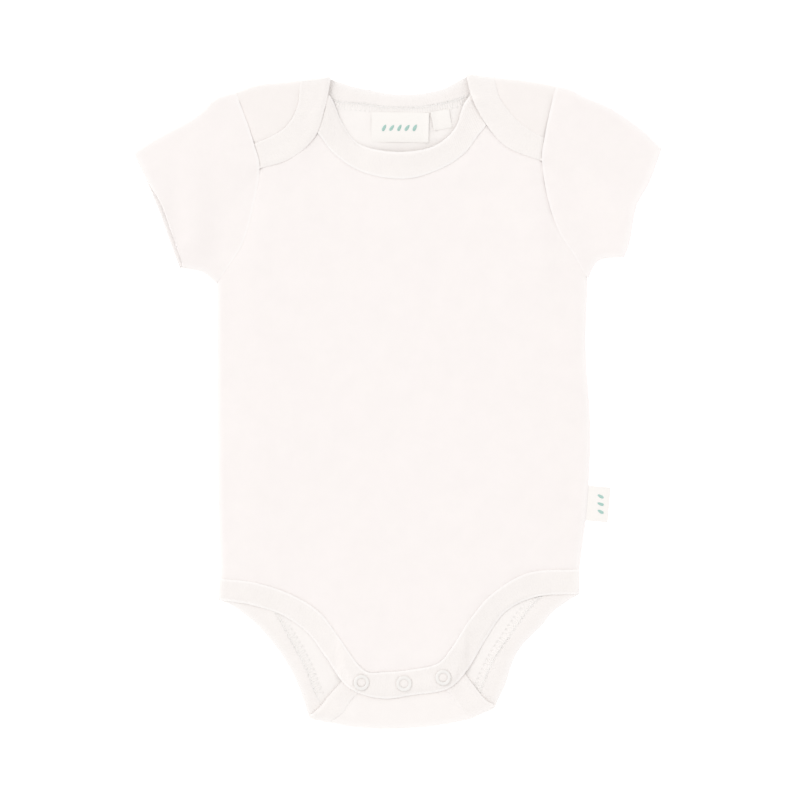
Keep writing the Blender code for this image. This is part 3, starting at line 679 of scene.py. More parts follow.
def sewing_thread(name, colour):
    """Twisted cotton-wrapped thread."""
    shader = Shader(name)
    twist = shader.add("ShaderNodeTexWave", {"Vector": shader.place(), "Scale": 900.0, "Distortion": 1.5},
                       "Fac", wave_type="BANDS", bands_direction="DIAGONAL")
    # painted shade: the thread's colour is darker in the grooves of its twist
    return shader.finish({"Base Color": shader.tint(twist, 0.0, 1.0, colour, 0.95),
                          "Normal": shader.bump(twist, 0.00005, 0.6), "Roughness": 0.6, "Sheen Weight": 0.2})


def pearl(name, colour):
    """Pearly lacquer of a baby snap."""
    shader = Shader(name)
    place = shader.place()
    return shader.finish({"Base Color": shader.tint(shader.noise(place, 260.0), 0.3, 0.7, colour, 0.97),
                          "Normal": shader.bump(shader.noise(place, 2600.0), 0.00001, 0.4),
                          "Roughness": 0.32, "Coat Weight": 0.35, "Coat Roughness": 0.15})


def woven(name, colour):
    """Woven satin tape: fine crossed threads that follow the cut."""
    shader = Shader(name)
    cut = shader.uv("Cut")
    warp, weft = (shader.calc("SINE", shader.calc("MULTIPLY", shader.part(cut, axis), FULL / pitch))
                  for axis, pitch in (("X", WARP_PITCH), ("Y", WEFT_PITCH)))
    threads = shader.calc("ADD", shader.calc("MULTIPLY", warp, 0.4), weft)
    # painted shade: the tape's colour is darker between its crossed threads
    return shader.finish({"Base Color": shader.tint(threads, -1.4, 1.4, colour, 0.97),
                          "Normal": shader.bump(threads, 0.00003, 0.4), "Roughness": 0.55,
                          "Sheen Weight": 0.15})


JERSEY_BODY = cotton("jersey_body", BODY_COLOUR)
JERSEY_BACK = cotton("jersey_back", BACK_COLOUR, flap=0.16)
# lighter copy for the inside face: painted light in the shaded openings
JERSEY_INSIDE = cotton("jersey_inside", INSIDE_COLOUR)
# the sleeves and bands get a painted highlight along their seams and folded edges
JERSEY_SLEEVE = cotton("jersey_sleeve", BODY_COLOUR, edge_highlight=0.25)
RIB_BAND = cotton("rib_band", BAND_COLOUR, rib=0.06, edge_highlight=0.35)
RIB_BACK = cotton("rib_band_back", BAND_COLOUR, rib=0.06, edge_highlight=0.1)
THREAD = sewing_thread("thread", (0.95, 0.93, 0.91))
PEARL = pearl("pearl", (0.87, 0.845, 0.82))
LABEL = woven("label_tape", (0.933, 0.899, 0.866))
MINT_THREAD = sewing_thread("mint_thread", (0.46, 0.68, 0.62))


# Meshes and pieces

SHARP = 50.0               # degrees between faces from which an edge is sharp
WELD = 0.002 * MM          # how near the points of two grids are that meet at a fold

# The garment's two side edges, from the leg bands' ends to the underarms
SIDES = [np.vstack([end[2:], even_line(side, 24)])
         for end, side in ((LEG_FRONT[0], SIDE_LEFT), (LEG_FRONT[-1], SIDE_RIGHT))]
# The garment's outline as seen from above, in runs
OUTLINE = SIDES + [spline(run, 3) for run in (
    SLEEVE_TOP_LEFT, CUFF_LEFT, SLEEVE_UNDER_LEFT, SLEEVE_TOP_RIGHT, CUFF_RIGHT, SLEEVE_UNDER_RIGHT,
    SHOULDER_LEFT + [LAP_LEFT[-1][2:]], SHOULDER_RIGHT + [LAP_RIGHT[0][2:]],
    [LEG_BACK_LEFT[-1][2:]] + CROTCH + [LEG_BACK_RIGHT[0][2:]],
)] + [spline(rows, 2)[:, 2:] for rows in (NECK_BACK, LEG_BACK_LEFT, LEG_BACK_RIGHT)]


def add_object(name, data):
    """A new object of the given data, in the scene."""
    made = bpy.data.objects.new(name, data)
    bpy.context.scene.collection.objects.link(made)
    return made


def in_frame(points):
    """Points of the tables in the garment's own frame, in metres."""
    return (np.asarray(points) - BOX_CENTRE) * MM


def grid_faces(rows, columns, first, flip, ring):
    """Corner numbers of the quads of a grid; a ring also joins each row's end to its start."""
    j, i = np.meshgrid(np.arange(rows - 1), np.arange(columns if ring else columns - 1), indexing="ij")
    k = (i + 1) % columns
    corners = np.stack([j * columns + i, j * columns + k, (j + 1) * columns + k, (j + 1) * columns + i], -1)
    corners = corners.reshape(-1, 4) + first
    return corners[:, ::-1] if flip else corners


def add_piece(name, grids, material, thickness=0.0, inside=None):
    """A piece from grids of (points, cut coordinates, flip, ring), with a wall of the given thickness.

    The wall's inner face can have a material of its own.
    """
    verts, faces, cuts, edges = [], [], [], []
    first = 0
    for points, cut, flip, ring in grids:
        rows, columns = points.shape[:2]
        verts.append(in_frame(points.reshape(-1, 3)))
        faces.append(grid_faces(rows, columns, first, flip, ring))
        cuts.append(cut.reshape(-1, 2))
        distance = np.min([nearest(points, run)[0] for run in OUTLINE], axis=0).ravel()
        edges.append(np.column_stack([distance, 0 * distance]))
        first += rows * columns
    faces = np.vstack(faces)
    mesh = bpy.data.meshes.new(name)
    mesh.from_pydata(np.vstack(verts).tolist(), [], faces.tolist())
    for layer_name, values in (("Cut", cuts), ("Edge", edges)):
        layer = mesh.uv_layers.new(name=layer_name)
        layer.uv.foreach_set("vector", np.vstack(values)[faces.ravel()].astype(np.float32).ravel())
    mesh.shade_smooth()
    mesh.materials.append(material)
    piece = add_object(name, mesh)
    if len(grids) > 1:
        piece.modifiers.new("Weld", "WELD").merge_threshold = WELD
    if thickness:
        wall = piece.modifiers.new("Wall", "SOLIDIFY")
        wall.thickness = thickness * MM
        wall.offset = -1
        wall.use_even_offset = False
        if inside:
            mesh.materials.append(inside)
            wall.material_offset = 1
    whole = bpy.data.meshes.new_from_object(piece.evaluated_get(bpy.context.evaluated_depsgraph_get()))
    whole.set_sharp_from_angle(angle=math.radians(SHARP))
    piece.modifiers.clear()
    piece.data = whole
    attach(piece, "root")
    return piece


def declare(piece, node, slot, **sheet):
    """Hide the CAD node that a piece stands for; the piece, its slot and its sheet are not used."""
    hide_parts(node)


def raised(flat, height):
    """Points of a flat grid at their heights above the table."""
    return np.dstack([flat, height])


def flat_cut(points):
    """Cut coordinates of cloth that lies as it was cut."""
    return points[..., :2].copy()


# Front

def side_roll(points, top):
    """Height that curves down to the side edges, as cloth that turns there does."""
    away = np.minimum(*(nearest(points, side)[0] for side in SIDES))
    return SIDE_EDGE + (top - SIDE_EDGE) * np.sqrt(1 - (1 - np.clip(away / SIDE_ROLL, 0, 1)) ** 2)


def make_front():
    """Front panel, with its rolled sides and the grooves of its seams."""
    bottom, top = (spline(rows, BAND_PIECES)[:, :2] for rows in (LEG_FRONT, NECK_FRONT))
    holes = [spline(hole, HOLE_PIECES) for hole in (ARMHOLE_LEFT, ARMHOLE_RIGHT)]
    left, right = (chain(even_line(side, SIDE_PIECES), hole[:FRONT_SEAM_ROW * HOLE_PIECES + 1])
                   for side, hole in zip((SIDE_LEFT, SIDE_RIGHT), holes))
    flat = patch(bottom, top, left, right, graded(*FRONT_COLUMNS), graded(*FRONT_ROWS))
    x, y = flat[..., 0], flat[..., 1]
    at_closing = GROOVE * (BAND_SHARE + CLOSING_SHARE * bell(x - FLAP_MIDDLE, CLOSING_REACH, 4))
    seams = [(bottom, at_closing, BAND_PUCKER), (top, BAND_SHARE * GROOVE, BAND_PUCKER)]
    seams += [(hole, armhole_groove(x, y), FRONT_HOLE_PUCKER) for hole in holes]
    height = front_face(x, y) + soft_body(x, y) + seam_relief(flat, seams, 11)
    points = raised(flat, side_roll(flat, height))
    piece = add_piece("front_cloth", [(points, flat_cut(points), False, False)], JERSEY_BODY, JERSEY)
    declare(piece, "front_panel", "jersey", flat=(0.226, 0.336), held="laid", rests_on=["back_cloth"],
            area=0.0595)


# Back

def inside_fold(run, radius, side):
    """A fold's outermost line moved to where the cloth leaves the bend."""
    return run + np.array([0.0, side * radius])


def at_fold(rows, pieces, radius, side, first=False, last=False):
    """Points along a band whose first or last row stops where the cloth leaves the bend."""
    moved = np.array(rows, float)
    for index, wanted in ((0, first), (-1, last)):
        if wanted:
            moved[index] += (0, side * radius, 0, side * radius)
    return spline(moved, pieces)


def folded_over(outermost, radius, side, points, flip):
    """Grids of the cloth round a fold and of what lies beyond it, whose cut runs on past the fold."""
    angle = np.linspace(0, math.pi, FOLD_STEPS + 1)[:, None]
    bend = np.dstack([outermost[:, 0] + 0 * angle, outermost[:, 1] + side * radius * (1 - np.sin(angle)),
                      radius * (1 - np.cos(angle)) + 0 * outermost[:, 0]])
    grids = []
    for part in (bend, points):
        cut = flat_cut(part)
        cut[..., 1] = -side * CUT_TURN - cut[..., 1] + part[..., 2]
        grids.append((part, cut, flip, False))
    return grids


def back_lift(flat, seams):
    """How far the back rises from the table: inside the neck, at its bands' seams, and beside the flap."""
    x, y = flat[..., 0], flat[..., 1]
    waves = BACK_WAVE * (1 + ripple(x, y, BACK_WAVE_SIZE, 21))
    lift = waves * bell(x, INSIDE_NECK_REACH, 4) * change(y, *INSIDE_NECK)
    for seam in seams:
        away, along = nearest(flat, seam)
        from_end = np.minimum(along, lengths_along(seam)[-1] - along)
        lift = np.maximum(lift, BACK_SEAM * bell(away, BACK_SEAM_REACH) * ease(from_end / BACK_SEAM_END))
    away = nearest(flat, spline(LEG_FRONT, BAND_PIECES)[:, 2:])[0]
    aside = abs(x - FLAP_MIDDLE)
    gap = change(aside, *BACK_GAP) * change(aside, *BACK_GAP_END)
    return np.maximum(lift, gap * bell(away, BACK_GAP_REACH))


def lap(outermost, hole, rows, groove):
    """Points of a shoulder lap, from its fold down to its band and the armhole."""
    seam = at_fold(rows, LAP_PIECES, *AT_SHOULDER, first=True)[:, :2]
    turn = len(outermost) - 1
    even = np.linspace(0, 1, turn + 1)
    flat = patch(inside_fold(outermost, *AT_SHOULDER), seam[turn:][::-1],
                 hole[LAP_SEAM_ROW * BACK_HOLE_PIECES:][::-1], seam[:turn + 1], even, even)
    x, y = flat[..., 0], flat[..., 1]
    seams = [(seam, groove, LAP_PUCKER), (hole, armhole_groove(x, y), ARMHOLE_PUCKER)]
    detail = seam_relief(flat, seams, 31) + soft_body(x, y, LAP_SOFT)
    detail = detail * change(below_shoulder(x, y), *LAP_DETAIL)
    return raised(flat, lap_face(x, y) + detail)


def crotch_flap(crotch):
    """Points of the crotch flap, from its fold up to its band."""
    left = at_fold(FLAP_LEFT, FLAP_PIECES, *AT_CROTCH, first=True)[:, :2]
    right = at_fold(FLAP_RIGHT, FLAP_PIECES, *AT_CROTCH, last=True)[:, :2]
    flat = patch(inside_fold(crotch, *AT_CROTCH), spline(FLAP_TOP, 8)[:, :2], left, right[::-1],
                 np.linspace(0, 1, len(crotch)), np.linspace(0, 1, len(left)))
    x, y = flat[..., 0], flat[..., 1]
    above_fold = y - np.interp(x, crotch[:, 0], crotch[:, 1]) - CROTCH_FOLD
    seams = [(seam, FLAP_SHARE * GROOVE, FLAP_PUCKER) for seam in (left, right)]
    detail = seam_relief(flat, seams, 41) + soft_body(x, y, FLAP_SOFT)
    detail = detail * change(above_fold, *FLAP_DETAIL)
    return raised(flat, flap_face(x, y) + detail)


def make_back():
    """Back panel: flat on the table, turned over at both shoulders and up at the crotch."""
    shoulders = [even_line(line, SHOULDER_PIECES) for line in (SHOULDER_LEFT, SHOULDER_RIGHT)]
    crotch = even_line(CROTCH, CROTCH_PIECES)
    leg_left = at_fold(LEG_BACK_LEFT, BACK_LEG_PIECES, *AT_CROTCH, last=True)[:, :2]
    leg_right = at_fold(LEG_BACK_RIGHT, BACK_LEG_PIECES, *AT_CROTCH, first=True)[:, :2]
    neck = at_fold(NECK_BACK, BACK_NECK_PIECES, *AT_SHOULDER, first=True, last=True)[:, :2]
    bottom = chain(leg_left, inside_fold(crotch, *AT_CROTCH), leg_right)
    top = chain(inside_fold(shoulders[0], *AT_SHOULDER), neck, inside_fold(shoulders[1][::-1], *AT_SHOULDER))
    holes = [spline(hole, BACK_HOLE_PIECES) for hole in (ARMHOLE_LEFT, ARMHOLE_RIGHT)]
    left, right = (chain(even_line([end[:2]] + side[1:], BACK_SIDE_PIECES), hole) for end, side, hole in zip(
        (LEG_BACK_LEFT[0], LEG_BACK_RIGHT[-1]), (SIDE_LEFT, SIDE_RIGHT), holes))
    flat = patch(bottom, top, left, right, np.linspace(0, 1, len(top)), np.linspace(0, 1, len(left)))
    points = raised(flat, back_lift(flat, (leg_left, leg_right, neck)))
    grids = [(points, flat_cut(points), True, False)]
    for outermost, hole, rows, flip, share in zip(
            shoulders, holes, (LAP_LEFT[::-1], LAP_RIGHT), (True, False), LAP_SHARES):
        points = lap(outermost, hole, rows, share * GROOVE)
        grids += folded_over(outermost, *AT_SHOULDER, points, flip)
    grids += folded_over(crotch, *AT_CROTCH, crotch_flap(crotch), False)
    piece = add_piece("back_cloth", grids, JERSEY_BACK, JERSEY, JERSEY_INSIDE)
    declare(piece, "back_panel", "jersey", flat=(0.226, 0.455), held="folded", rests_on=["floor"],
            area=0.0755)


# Bands

# Round a doubled band's section, from the seam over its upper layer: (distance, height)
BAND_NEAR = np.array([(0, -0.2), (0.2, -0.1), (0.45, 0), (0.8, 0.08), (1.3, 0.12), (1.9, 0.1), (2.8, 0.04)])
BAND_RADIUS, BAND_CREST = 0.5, -0.28   # of the turn at its free edge, and that turn's height
# Puckers beside a band's seam and along its free edge: (height, reach, length)
SEAM_PUCKERS, EDGE_PUCKERS = (0.15, 4.0, 5.6), (0.10, 3.0, 12.0)
BAND_WAVE, BAND_WAVE_SIZE, BAND_WAVE_STRETCH = 0.09, 11, 1.6
DROOP_REACH = 2.6          # how far from its free edge a band thins
END_REACH = 3.5            # how far from its ends it sinks


def band_section(width):
    """Distances from the seam, and heights over the base and shares of the upper layer."""
    middle = np.linspace(0.0, 1.0, 12)
    turn = np.radians(np.linspace(90, -90, 9))
    w = width[:, None]
    one = np.ones_like(w)
    distance = np.hstack([
        BAND_NEAR[:, 0] * one, 4.0 + (w - 7.0) * middle, w - 2.0, w - 1.3,
        w - BAND_RADIUS + BAND_RADIUS * np.cos(turn), w - 1.6, w - 3.0, one * (3.0, 1.0, 0.0),
    ])
    height = np.concatenate([
        BAND_NEAR[:, 1], -0.06 * np.sin(math.pi * middle), [-0.06, -0.16],
        BAND_CREST - BAND_RADIUS + BAND_RADIUS * np.sin(turn), np.array([0.1, 0.02, 0.0, 0.05, 0.3]) - BAND,
    ])
    upper = np.concatenate([np.ones(len(BAND_NEAR) + len(middle) + 2), (1 + np.sin(turn)) / 2, np.zeros(5)])
    return distance, height, upper


def band_flat(rows):
    """Places in x and y of a band's section at each of its rows, and the rows' middles and widths."""
    seam, across = rows[:, :2], rows[:, 2:] - rows[:, :2]
    width = np.linalg.norm(across, axis=1)
    part = band_section(width)[0] / width[:, None]
    return seam[:, None] + across[:, None] * part[..., None], seam + across / 2, width


def lying(rows, height, up=1):
    """A stretch of band that lies level, with its outside up or down.

    Like turning, it gives the base's points and normals, the steps between rows, how far
    each row has turned over to the upper side, and the rows' widths.
    """
    flat, middle, width = band_flat(rows)
    base = raised(flat, height(flat[..., 0], flat[..., 1]))
    step = np.diff(lengths_along(middle), prepend=0.0)
    return base, np.full(base.shape, (0.0, 0.0, up)), step, np.full(len(rows), float(up > 0)), width


def turning(row, radius, side, upwards=True):
    """A stretch of band that turns round a fold, up from the table or down to it."""
    angle = np.linspace(0, math.pi, FOLD_STEPS + 1)[::1 if upwards else -1, None]
    flat, _, width = band_flat(np.tile(np.asarray(row, float), (len(angle), 1)))
    flat[..., 1] += side * radius * (1 - np.sin(angle))
    base = raised(flat, radius * (1 - np.cos(angle)) + 0 * flat[..., 0])
    normal = np.stack([0 * angle, -side * np.sin(angle), -np.cos(angle)], -1)
    step = np.full(len(angle), radius * math.pi / FOLD_STEPS)
    return base, np.broadcast_to(normal, base.shape), step, (1 - np.cos(angle[:, 0])) / 2, width


def band_points(stretches, proud=0.0, seed=1, extra=None, droop=None, end_sink=0.0):
    """Grid of a doubled band's points and cut coordinates, from its stretches in order.

    extra is a function of the place that adds relief to the upper layer, droop is one that
    tells how far the layer sinks at the free edge, and end_sink is how far it sinks at the
    band's two ends.
    """
    parts, travelled = [], 0.0
    for number, (base, normal, step, over, width) in enumerate(stretches):
        along = np.cumsum(step) + travelled
        travelled += np.sum(step)
        parts.append([part[min(number, 1):] for part in (base, normal, along, over, width)])
    base, normal, along, over, width = (np.concatenate(part) for part in zip(*parts))
    distance, height, upper = band_section(width)
    s = along[:, None]
    from_fold = width[:, None] - distance
    tall, reach, size = SEAM_PUCKERS
    relief = tall * puckers(distance, reach, s, size, seed)
    tall, reach, size = EDGE_PUCKERS
    relief = relief + tall * np.exp(-from_fold / reach) * uneven_wave(s, size, seed + 1)
    waves = ripple(s + 0 * distance, distance * BAND_WAVE_STRETCH, BAND_WAVE_SIZE, seed + 2)
    relief = relief + BAND_WAVE * waves
    lift = height + proud + relief * (over[:, None] - 1 + upper)
    if extra is not None:
        lift = lift + extra(base[..., 0], base[..., 1]) * upper
    if droop is not None:
        thin = droop(base[..., 0], base[..., 1]) * ease(1 - from_fold / DROOP_REACH)
        lift = lift - thin * upper * over[:, None]
    from_end = np.clip(np.minimum(s, along[-1] - s) / END_REACH, 0, 1)
    lift = lift - end_sink * (1 - np.sqrt(1 - (1 - from_end) ** 2)) * upper
    points = base + normal * lift[..., None]
    points[..., 2] = np.maximum(points[..., 2], 0.0)
    return points, np.dstack([s + 0 * distance, np.minimum(distance, from_fold)])


def add_band(name, node, stretches, flip, strip, material, **settings):
    """A doubled band of rib, folded along its free edge."""
    points, cut = band_points(stretches, **settings)
    piece = add_piece(name, [(points, cut, flip, False)], material, RIB)
    declare(piece, node, "rib", flat=strip, held="folded", rests_on=["back_cloth"])


def snap_press(x, y):
    """Dimple that each snap presses into the band, with the cloth slightly full inside the ring."""
    relief = 0.0
    for snap_x, snap_y in SNAPS:
        away = np.hypot(x - snap_x, y - snap_y)
        relief = relief - SNAP_DIP * bell(away - SNAP_DIP_RADIUS, SNAP_DIP_REACH, 6)
        relief = relief + SNAP_FULL * bell(away, SNAP_FULL_REACH)
    return relief


def neck_droop(x, y):
    """How far the front neck band thins towards its free edge: more so at its left."""
    return 0.2 + change(x, *NECK_THIN)


def back_droop(x, y):
    """How far the bands of the laps and of the flap thin towards their free edges."""
    return 0.35 + 0.0 * x


def leg_droop(x, y):
    """How far the front leg band thins towards its free edge: well beside the flap, not on it."""
    return change(abs(x - FLAP_MIDDLE), *LEG_DROOP)


def make_bands():
    """The four bands: front and back neck, front and back legs."""
    add_band("neck_binding_front", "neck_band_front", [lying(spline(NECK_FRONT, 14), front_face)],
             True, (0.033, 0.225), RIB_BAND, proud=PROUD, seed=51, droop=neck_droop)
    add_band("neck_binding_back", "neck_band_back", [
        lying(at_fold(LAP_LEFT, 12, *AT_SHOULDER, last=True), lap_face),
        turning(LAP_LEFT[-1], *AT_SHOULDER, upwards=False),
        lying(at_fold(NECK_BACK, 12, *AT_SHOULDER, first=True, last=True), table_level, up=-1),
        turning(LAP_RIGHT[0], *AT_SHOULDER),
        lying(at_fold(LAP_RIGHT, 12, *AT_SHOULDER, first=True), lap_face),
    ], False, (0.03, 0.25), RIB_BACK, seed=61, droop=back_droop, end_sink=1.1)
    add_band("leg_binding_front", "leg_band_front", [lying(spline(LEG_FRONT, 22), front_face)],
             False, (0.03, 0.275), RIB_BAND, proud=PROUD, seed=71, extra=snap_press, droop=leg_droop,
             end_sink=0.9)
    flap = chain(at_fold(FLAP_LEFT, 6, *AT_CROTCH, first=True), spline(FLAP_TOP, 10),
                 at_fold(FLAP_RIGHT, 6, *AT_CROTCH, last=True))
    add_band("leg_binding_back", "leg_band_back", [
        lying(at_fold(LEG_BACK_LEFT, 8, *AT_CROTCH, last=True), table_level, up=-1),
        turning(LEG_BACK_LEFT[-1], *AT_CROTCH),
        lying(flap, flap_face),
        turning(LEG_BACK_RIGHT[0], *AT_CROTCH, upwards=False),
        lying(at_fold(LEG_BACK_RIGHT, 8, *AT_CROTCH, first=True), table_level, up=-1),
    ], True, (0.026, 0.36), RIB_BACK, seed=81, droop=back_droop)


# Sleeves

SLEEVE_WALL = 0.45         # one layer, thin enough to turn in at the cuff
SLEEVE_COLUMNS = 70        # points across one layer between its rolled edges
SLEEVE_TURN = 7            # points round one half of a rolled edge
SLEEVE_ROWS = (48, 0.05)   # pieces along it, and how near the armhole they get finer
SLEEVE_SIDE_PIECES = 40
SLEEVE_LENGTH = 52.0       # of the cut, from the armhole to the cuff
STEP_SPREAD = 36           # how much wider the step at the lap's corner gets away from the armhole
STEP_INWARDS = 0.6         # the part of that towards the underarm
SLEEVE_GROOVE = 0.2        # the part of the armhole's groove that lies on the sleeve
CUFF_LIP = 0.8             # how far the lower layer's hem curls up
SHORTER_RINGS = 6          # how many rings from the cuff the upper layer is drawn back over
HEM_ROWS = [(0.30, 0.08), (0.52, 0.30), (0.60, 0.60), (0.52, 0.90), (0.30, 1.12), (0.0, 1.20),
            (-3.0, 1.20), (-9.0, 1.20)]    # (outwards, into the sleeve) past the cuff's last ring


def sleeve_top(x, y, corner_y, part, hem):
    """Height of a sleeve's face: the armhole's own height at part 0, the cuff's at part 1."""
    spread = STEP_SPREAD * ease(part * 3.5)
    start, whole, _ = SLEEVE_STEP
    lap_part = change(y - corner_y, start - STEP_INWARDS * spread, whole + (1 - STEP_INWARDS) * spread)
    at_body = front_top(x, y) * (1 - lap_part) + 2 * SHOULDER_FOLD * lap_part
    return at_body * (1 - ease(part)) + (hem + fold_relief(x, y, FOLDS)) * ease(part)


def round_sleeve(over, under):
    """A ring round a sleeve: along its upper layer and back along the lower one."""
    return np.concatenate([over, under[::-1][1:-1]])


def make_sleeve(name, node, hole, shoulder, under, over, cuff, flip, inset, seed):
    """A sleeve: a flattened tube from the armhole to the cuff, whose upper layer is the shorter."""
    armhole = spline(hole, HOLE_PIECES)
    body_end = np.vstack([[under[0]], armhole[1:], [shoulder]])
    part = graded(*SLEEVE_ROWS)
    flat = patch(body_end, even_line(cuff, len(body_end) - 1), even_line(under, SLEEVE_SIDE_PIECES),
                 even_line(over, SLEEVE_SIDE_PIECES), np.linspace(0, 1, len(body_end)), part)
    turn = np.linspace(0, math.pi / 2, SLEEVE_TURN)
    rise = np.concatenate([np.sin(turn), np.ones(SLEEVE_COLUMNS), np.sin(turn[::-1])])
    rings, cuts = [], []
    for row, place in zip(flat, part):
        along = lengths_along(row)
        total = along[-1]
        low, high = ((top * (1 - place) + CUFF_TOP * place) / 2 for top in (SIDE_TOP, 2 * SHOULDER_FOLD))
        inner = low + (total - low - high) * np.linspace(0, 1, SLEEVE_COLUMNS + 2)[1:-1]
        distance = np.concatenate([low * (1 - np.cos(turn)), inner, total - high * (1 - np.cos(turn[::-1]))])
        radius = low + (high - low) * np.linspace(0, 1, SLEEVE_COLUMNS)
        radius = np.concatenate([np.full(SLEEVE_TURN, low), radius, np.full(SLEEVE_TURN, high)])
        xy = pick(row, distance, along)
        x, y = xy.T
        crown = SLEEVE_CROWN * np.sin(math.pi * np.clip(distance / total, 0, 1))
        top = sleeve_top(x, y, hole[LAP_EDGE_ROW][1], place, CUFF_TOP + crown)
        seam = (armhole, SLEEVE_GROOVE * armhole_groove(x, y), ARMHOLE_PUCKER)
        detail = seam_relief(xy, [seam], seed) + soft_body(x, y, SLEEVE_SOFT) * ease(place * 6)
        rings.append(round_sleeve(np.column_stack([xy, radius + (top - radius + detail) * rise]),
                                  np.column_stack([xy, radius * (1 - rise)])))
        around = round_sleeve(distance, 2 * total - distance)
        cuts.append(np.column_stack([around, np.full(len(around), place * SLEEVE_LENGTH)]))
    side = np.gradient(xy, axis=0)
    side /= np.linalg.norm(side, axis=1)[:, None]
    lean = side * (np.sqrt(1 - rise ** 2) * np.where(distance < total / 2, 1, -1))[:, None]
    into = round_sleeve(np.column_stack([lean, -rise]), np.column_stack([lean, rise]))
    outward = rings[-1] - rings[-5]
    outward[:, 2] = 0
    outward /= np.linalg.norm(outward, axis=1)[:, None]
    upper = round_sleeve(rise, 0 * rise)
    from_top = round_sleeve(1 - distance / total, 0 * distance)
    shorter = outward * (inset * ease(upper * 1.2 - 0.1) * ease((from_top - 0.12) * 2.6))[:, None]
    for back in range(SHORTER_RINGS):
        rings[-1 - back] = rings[-1 - back] - shorter * (1 - back / SHORTER_RINGS) ** 2
    last, cut = rings[-1], cuts[-1]
    lip = np.array([0, 0, CUFF_LIP]) * (1 - upper)[:, None]
    for out, deep in HEM_ROWS:
        rings.append(last + outward * out + into * deep + lip * (out > -1))
        cuts.append(cut + (0, 1 + deep - out))
    rings[len(part) - 1] = last + lip
    rings[len(part) - 2] = rings[len(part) - 2] + lip * 0.3
    points = np.array(rings)
    points[..., 2] = np.maximum(points[..., 2], 0.0)
    piece = add_piece(name, [(points, np.array(cuts), flip, True)], JERSEY_SLEEVE, SLEEVE_WALL)
    declare(piece, node, "jersey", flat=(0.23, 0.085), held="laid", rests_on=["floor"], area=0.0125)


# Sewing, snaps and labels

THREAD_RADIUS = 0.13
RIDGE_RADIUS = 0.25        # of the seam's own ridge beside the coverstitch
RIDGE_HEIGHT = 0.6         # of the cloth under that ridge, over the panel
SEAM_PIECES = 160          # pieces of a seam's line
SEAM_END = 3.0             # how far from its ends the sewing stops
CORNER_BOW = 0.25          # how far the zigzag's corners bend along the seam
CORNER_JITTER, WIDTH_JITTER, LENGTH_JITTER = 0.12, 0.05, 0.04
LABEL_HEIGHT = 1.25        # of the labels' faces in the neck
LABEL_WALL = 0.28
LEAF_STEP = 4.6            # from one leaf to the next
CAUGHT = 0.8               # how far the side label runs into the seam
LOOP_RADIUS = 0.45         # of the side label's fold
LOOP_BOW = 0.35            # how far its upper layer bows up


def add_thread(name, runs, radius=THREAD_RADIUS, material=THREAD):
    """Thread along runs of points in the tables' millimetres."""
    curve = bpy.data.curves.new(name, "CURVE")
    curve.dimensions = "3D"
    curve.bevel_depth = radius * MM
    curve.bevel_resolution = 1
    curve.use_fill_caps = True
    for run in runs:
        line = curve.splines.new("POLY")
        line.points.add(len(run) - 1)
        for point, place in zip(line.points, in_frame(run)):
            point.co = (*place, 1.0)
    piece = add_object(name, curve)
    curve.materials.append(material)
    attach(piece, "root")


def inner_height(offset):
    """Height of the inside beside a seam of the back: the band at offsets below 0, the panel above."""
    return np.where(offset < 0, BAND - 0.25 * bell(offset, 0.8), JERSEY + RIDGE_HEIGHT * bell(offset, 2.2))


def beside_line(line, at, offset):
    """Points on the inside at lengths along a seam line and offsets to its left."""
    along = lengths_along(line)
    ahead, behind = (pick(line, at + d, along) for d in (0.5, -0.5))
    run = ahead - behind
    normal = np.column_stack([-run[:, 1], run[:, 0]]) / np.linalg.norm(run, axis=1)[:, None]
    return (ahead + behind) / 2 + normal * np.reshape(offset, (-1, 1))


def coverstitch(line, panel_side, seed):
    """Runs of thread over a seam: a wide zigzag between two rows of short stitches."""
    rng = np.random.default_rng(seed)
    total = lengths_along(line)[-1]
    count = int((total - 2 * SEAM_END) / (STITCH / 2))
    numbers = np.arange(count)
    at = SEAM_END + STITCH / 2 * numbers + rng.normal(0, CORNER_JITTER, count)
    offset = np.where(numbers % 2, COVER[1], COVER[0]) * (1 + rng.normal(0, WIDTH_JITTER, count))
    fine = np.linspace(0, count - 1, (count - 1) * 4 + 1)
    corner = np.interp(fine, numbers, at) + CORNER_BOW * np.sin(fine * FULL)
    across = np.interp(fine, numbers, offset)
    runs = [np.column_stack([beside_line(line, corner, across * panel_side), inner_height(across) + 0.08])]
    for row in COVER:
        place = SEAM_END
        while place + STITCH < total - SEAM_END:
            ends = place + np.array([0.0, 0.25, 0.6, 0.85]) * STITCH * (1 + rng.normal(0, LENGTH_JITTER))
            z = inner_height(np.full(4, row)) + np.array([-0.1, 0.2, 0.2, -0.1])
            runs.append(np.column_stack([beside_line(line, ends, np.full(4, row * panel_side)), z]))
            place += STITCH
    return runs


def sew_seams():
    """Coverstitch over the seams that show on the inside: both back leg bands and the back neck."""
    for number, (name, rows, panel_side) in enumerate((
            ("left_leg", LEG_BACK_LEFT, 1), ("right_leg", LEG_BACK_RIGHT, 1), ("back_neck", NECK_BACK, -1))):
        line = even_line([row[:2] for row in rows[1:-1]], SEAM_PIECES)
        add_thread(f"coverstitch_{name}", coverstitch(line, panel_side, 91 + number))
        ridge = np.column_stack([line[1:-1], np.full(len(line) - 2, JERSEY + RIDGE_HEIGHT)])
        add_thread(f"seam_ridge_{name}", [ridge], RIDGE_RADIUS)


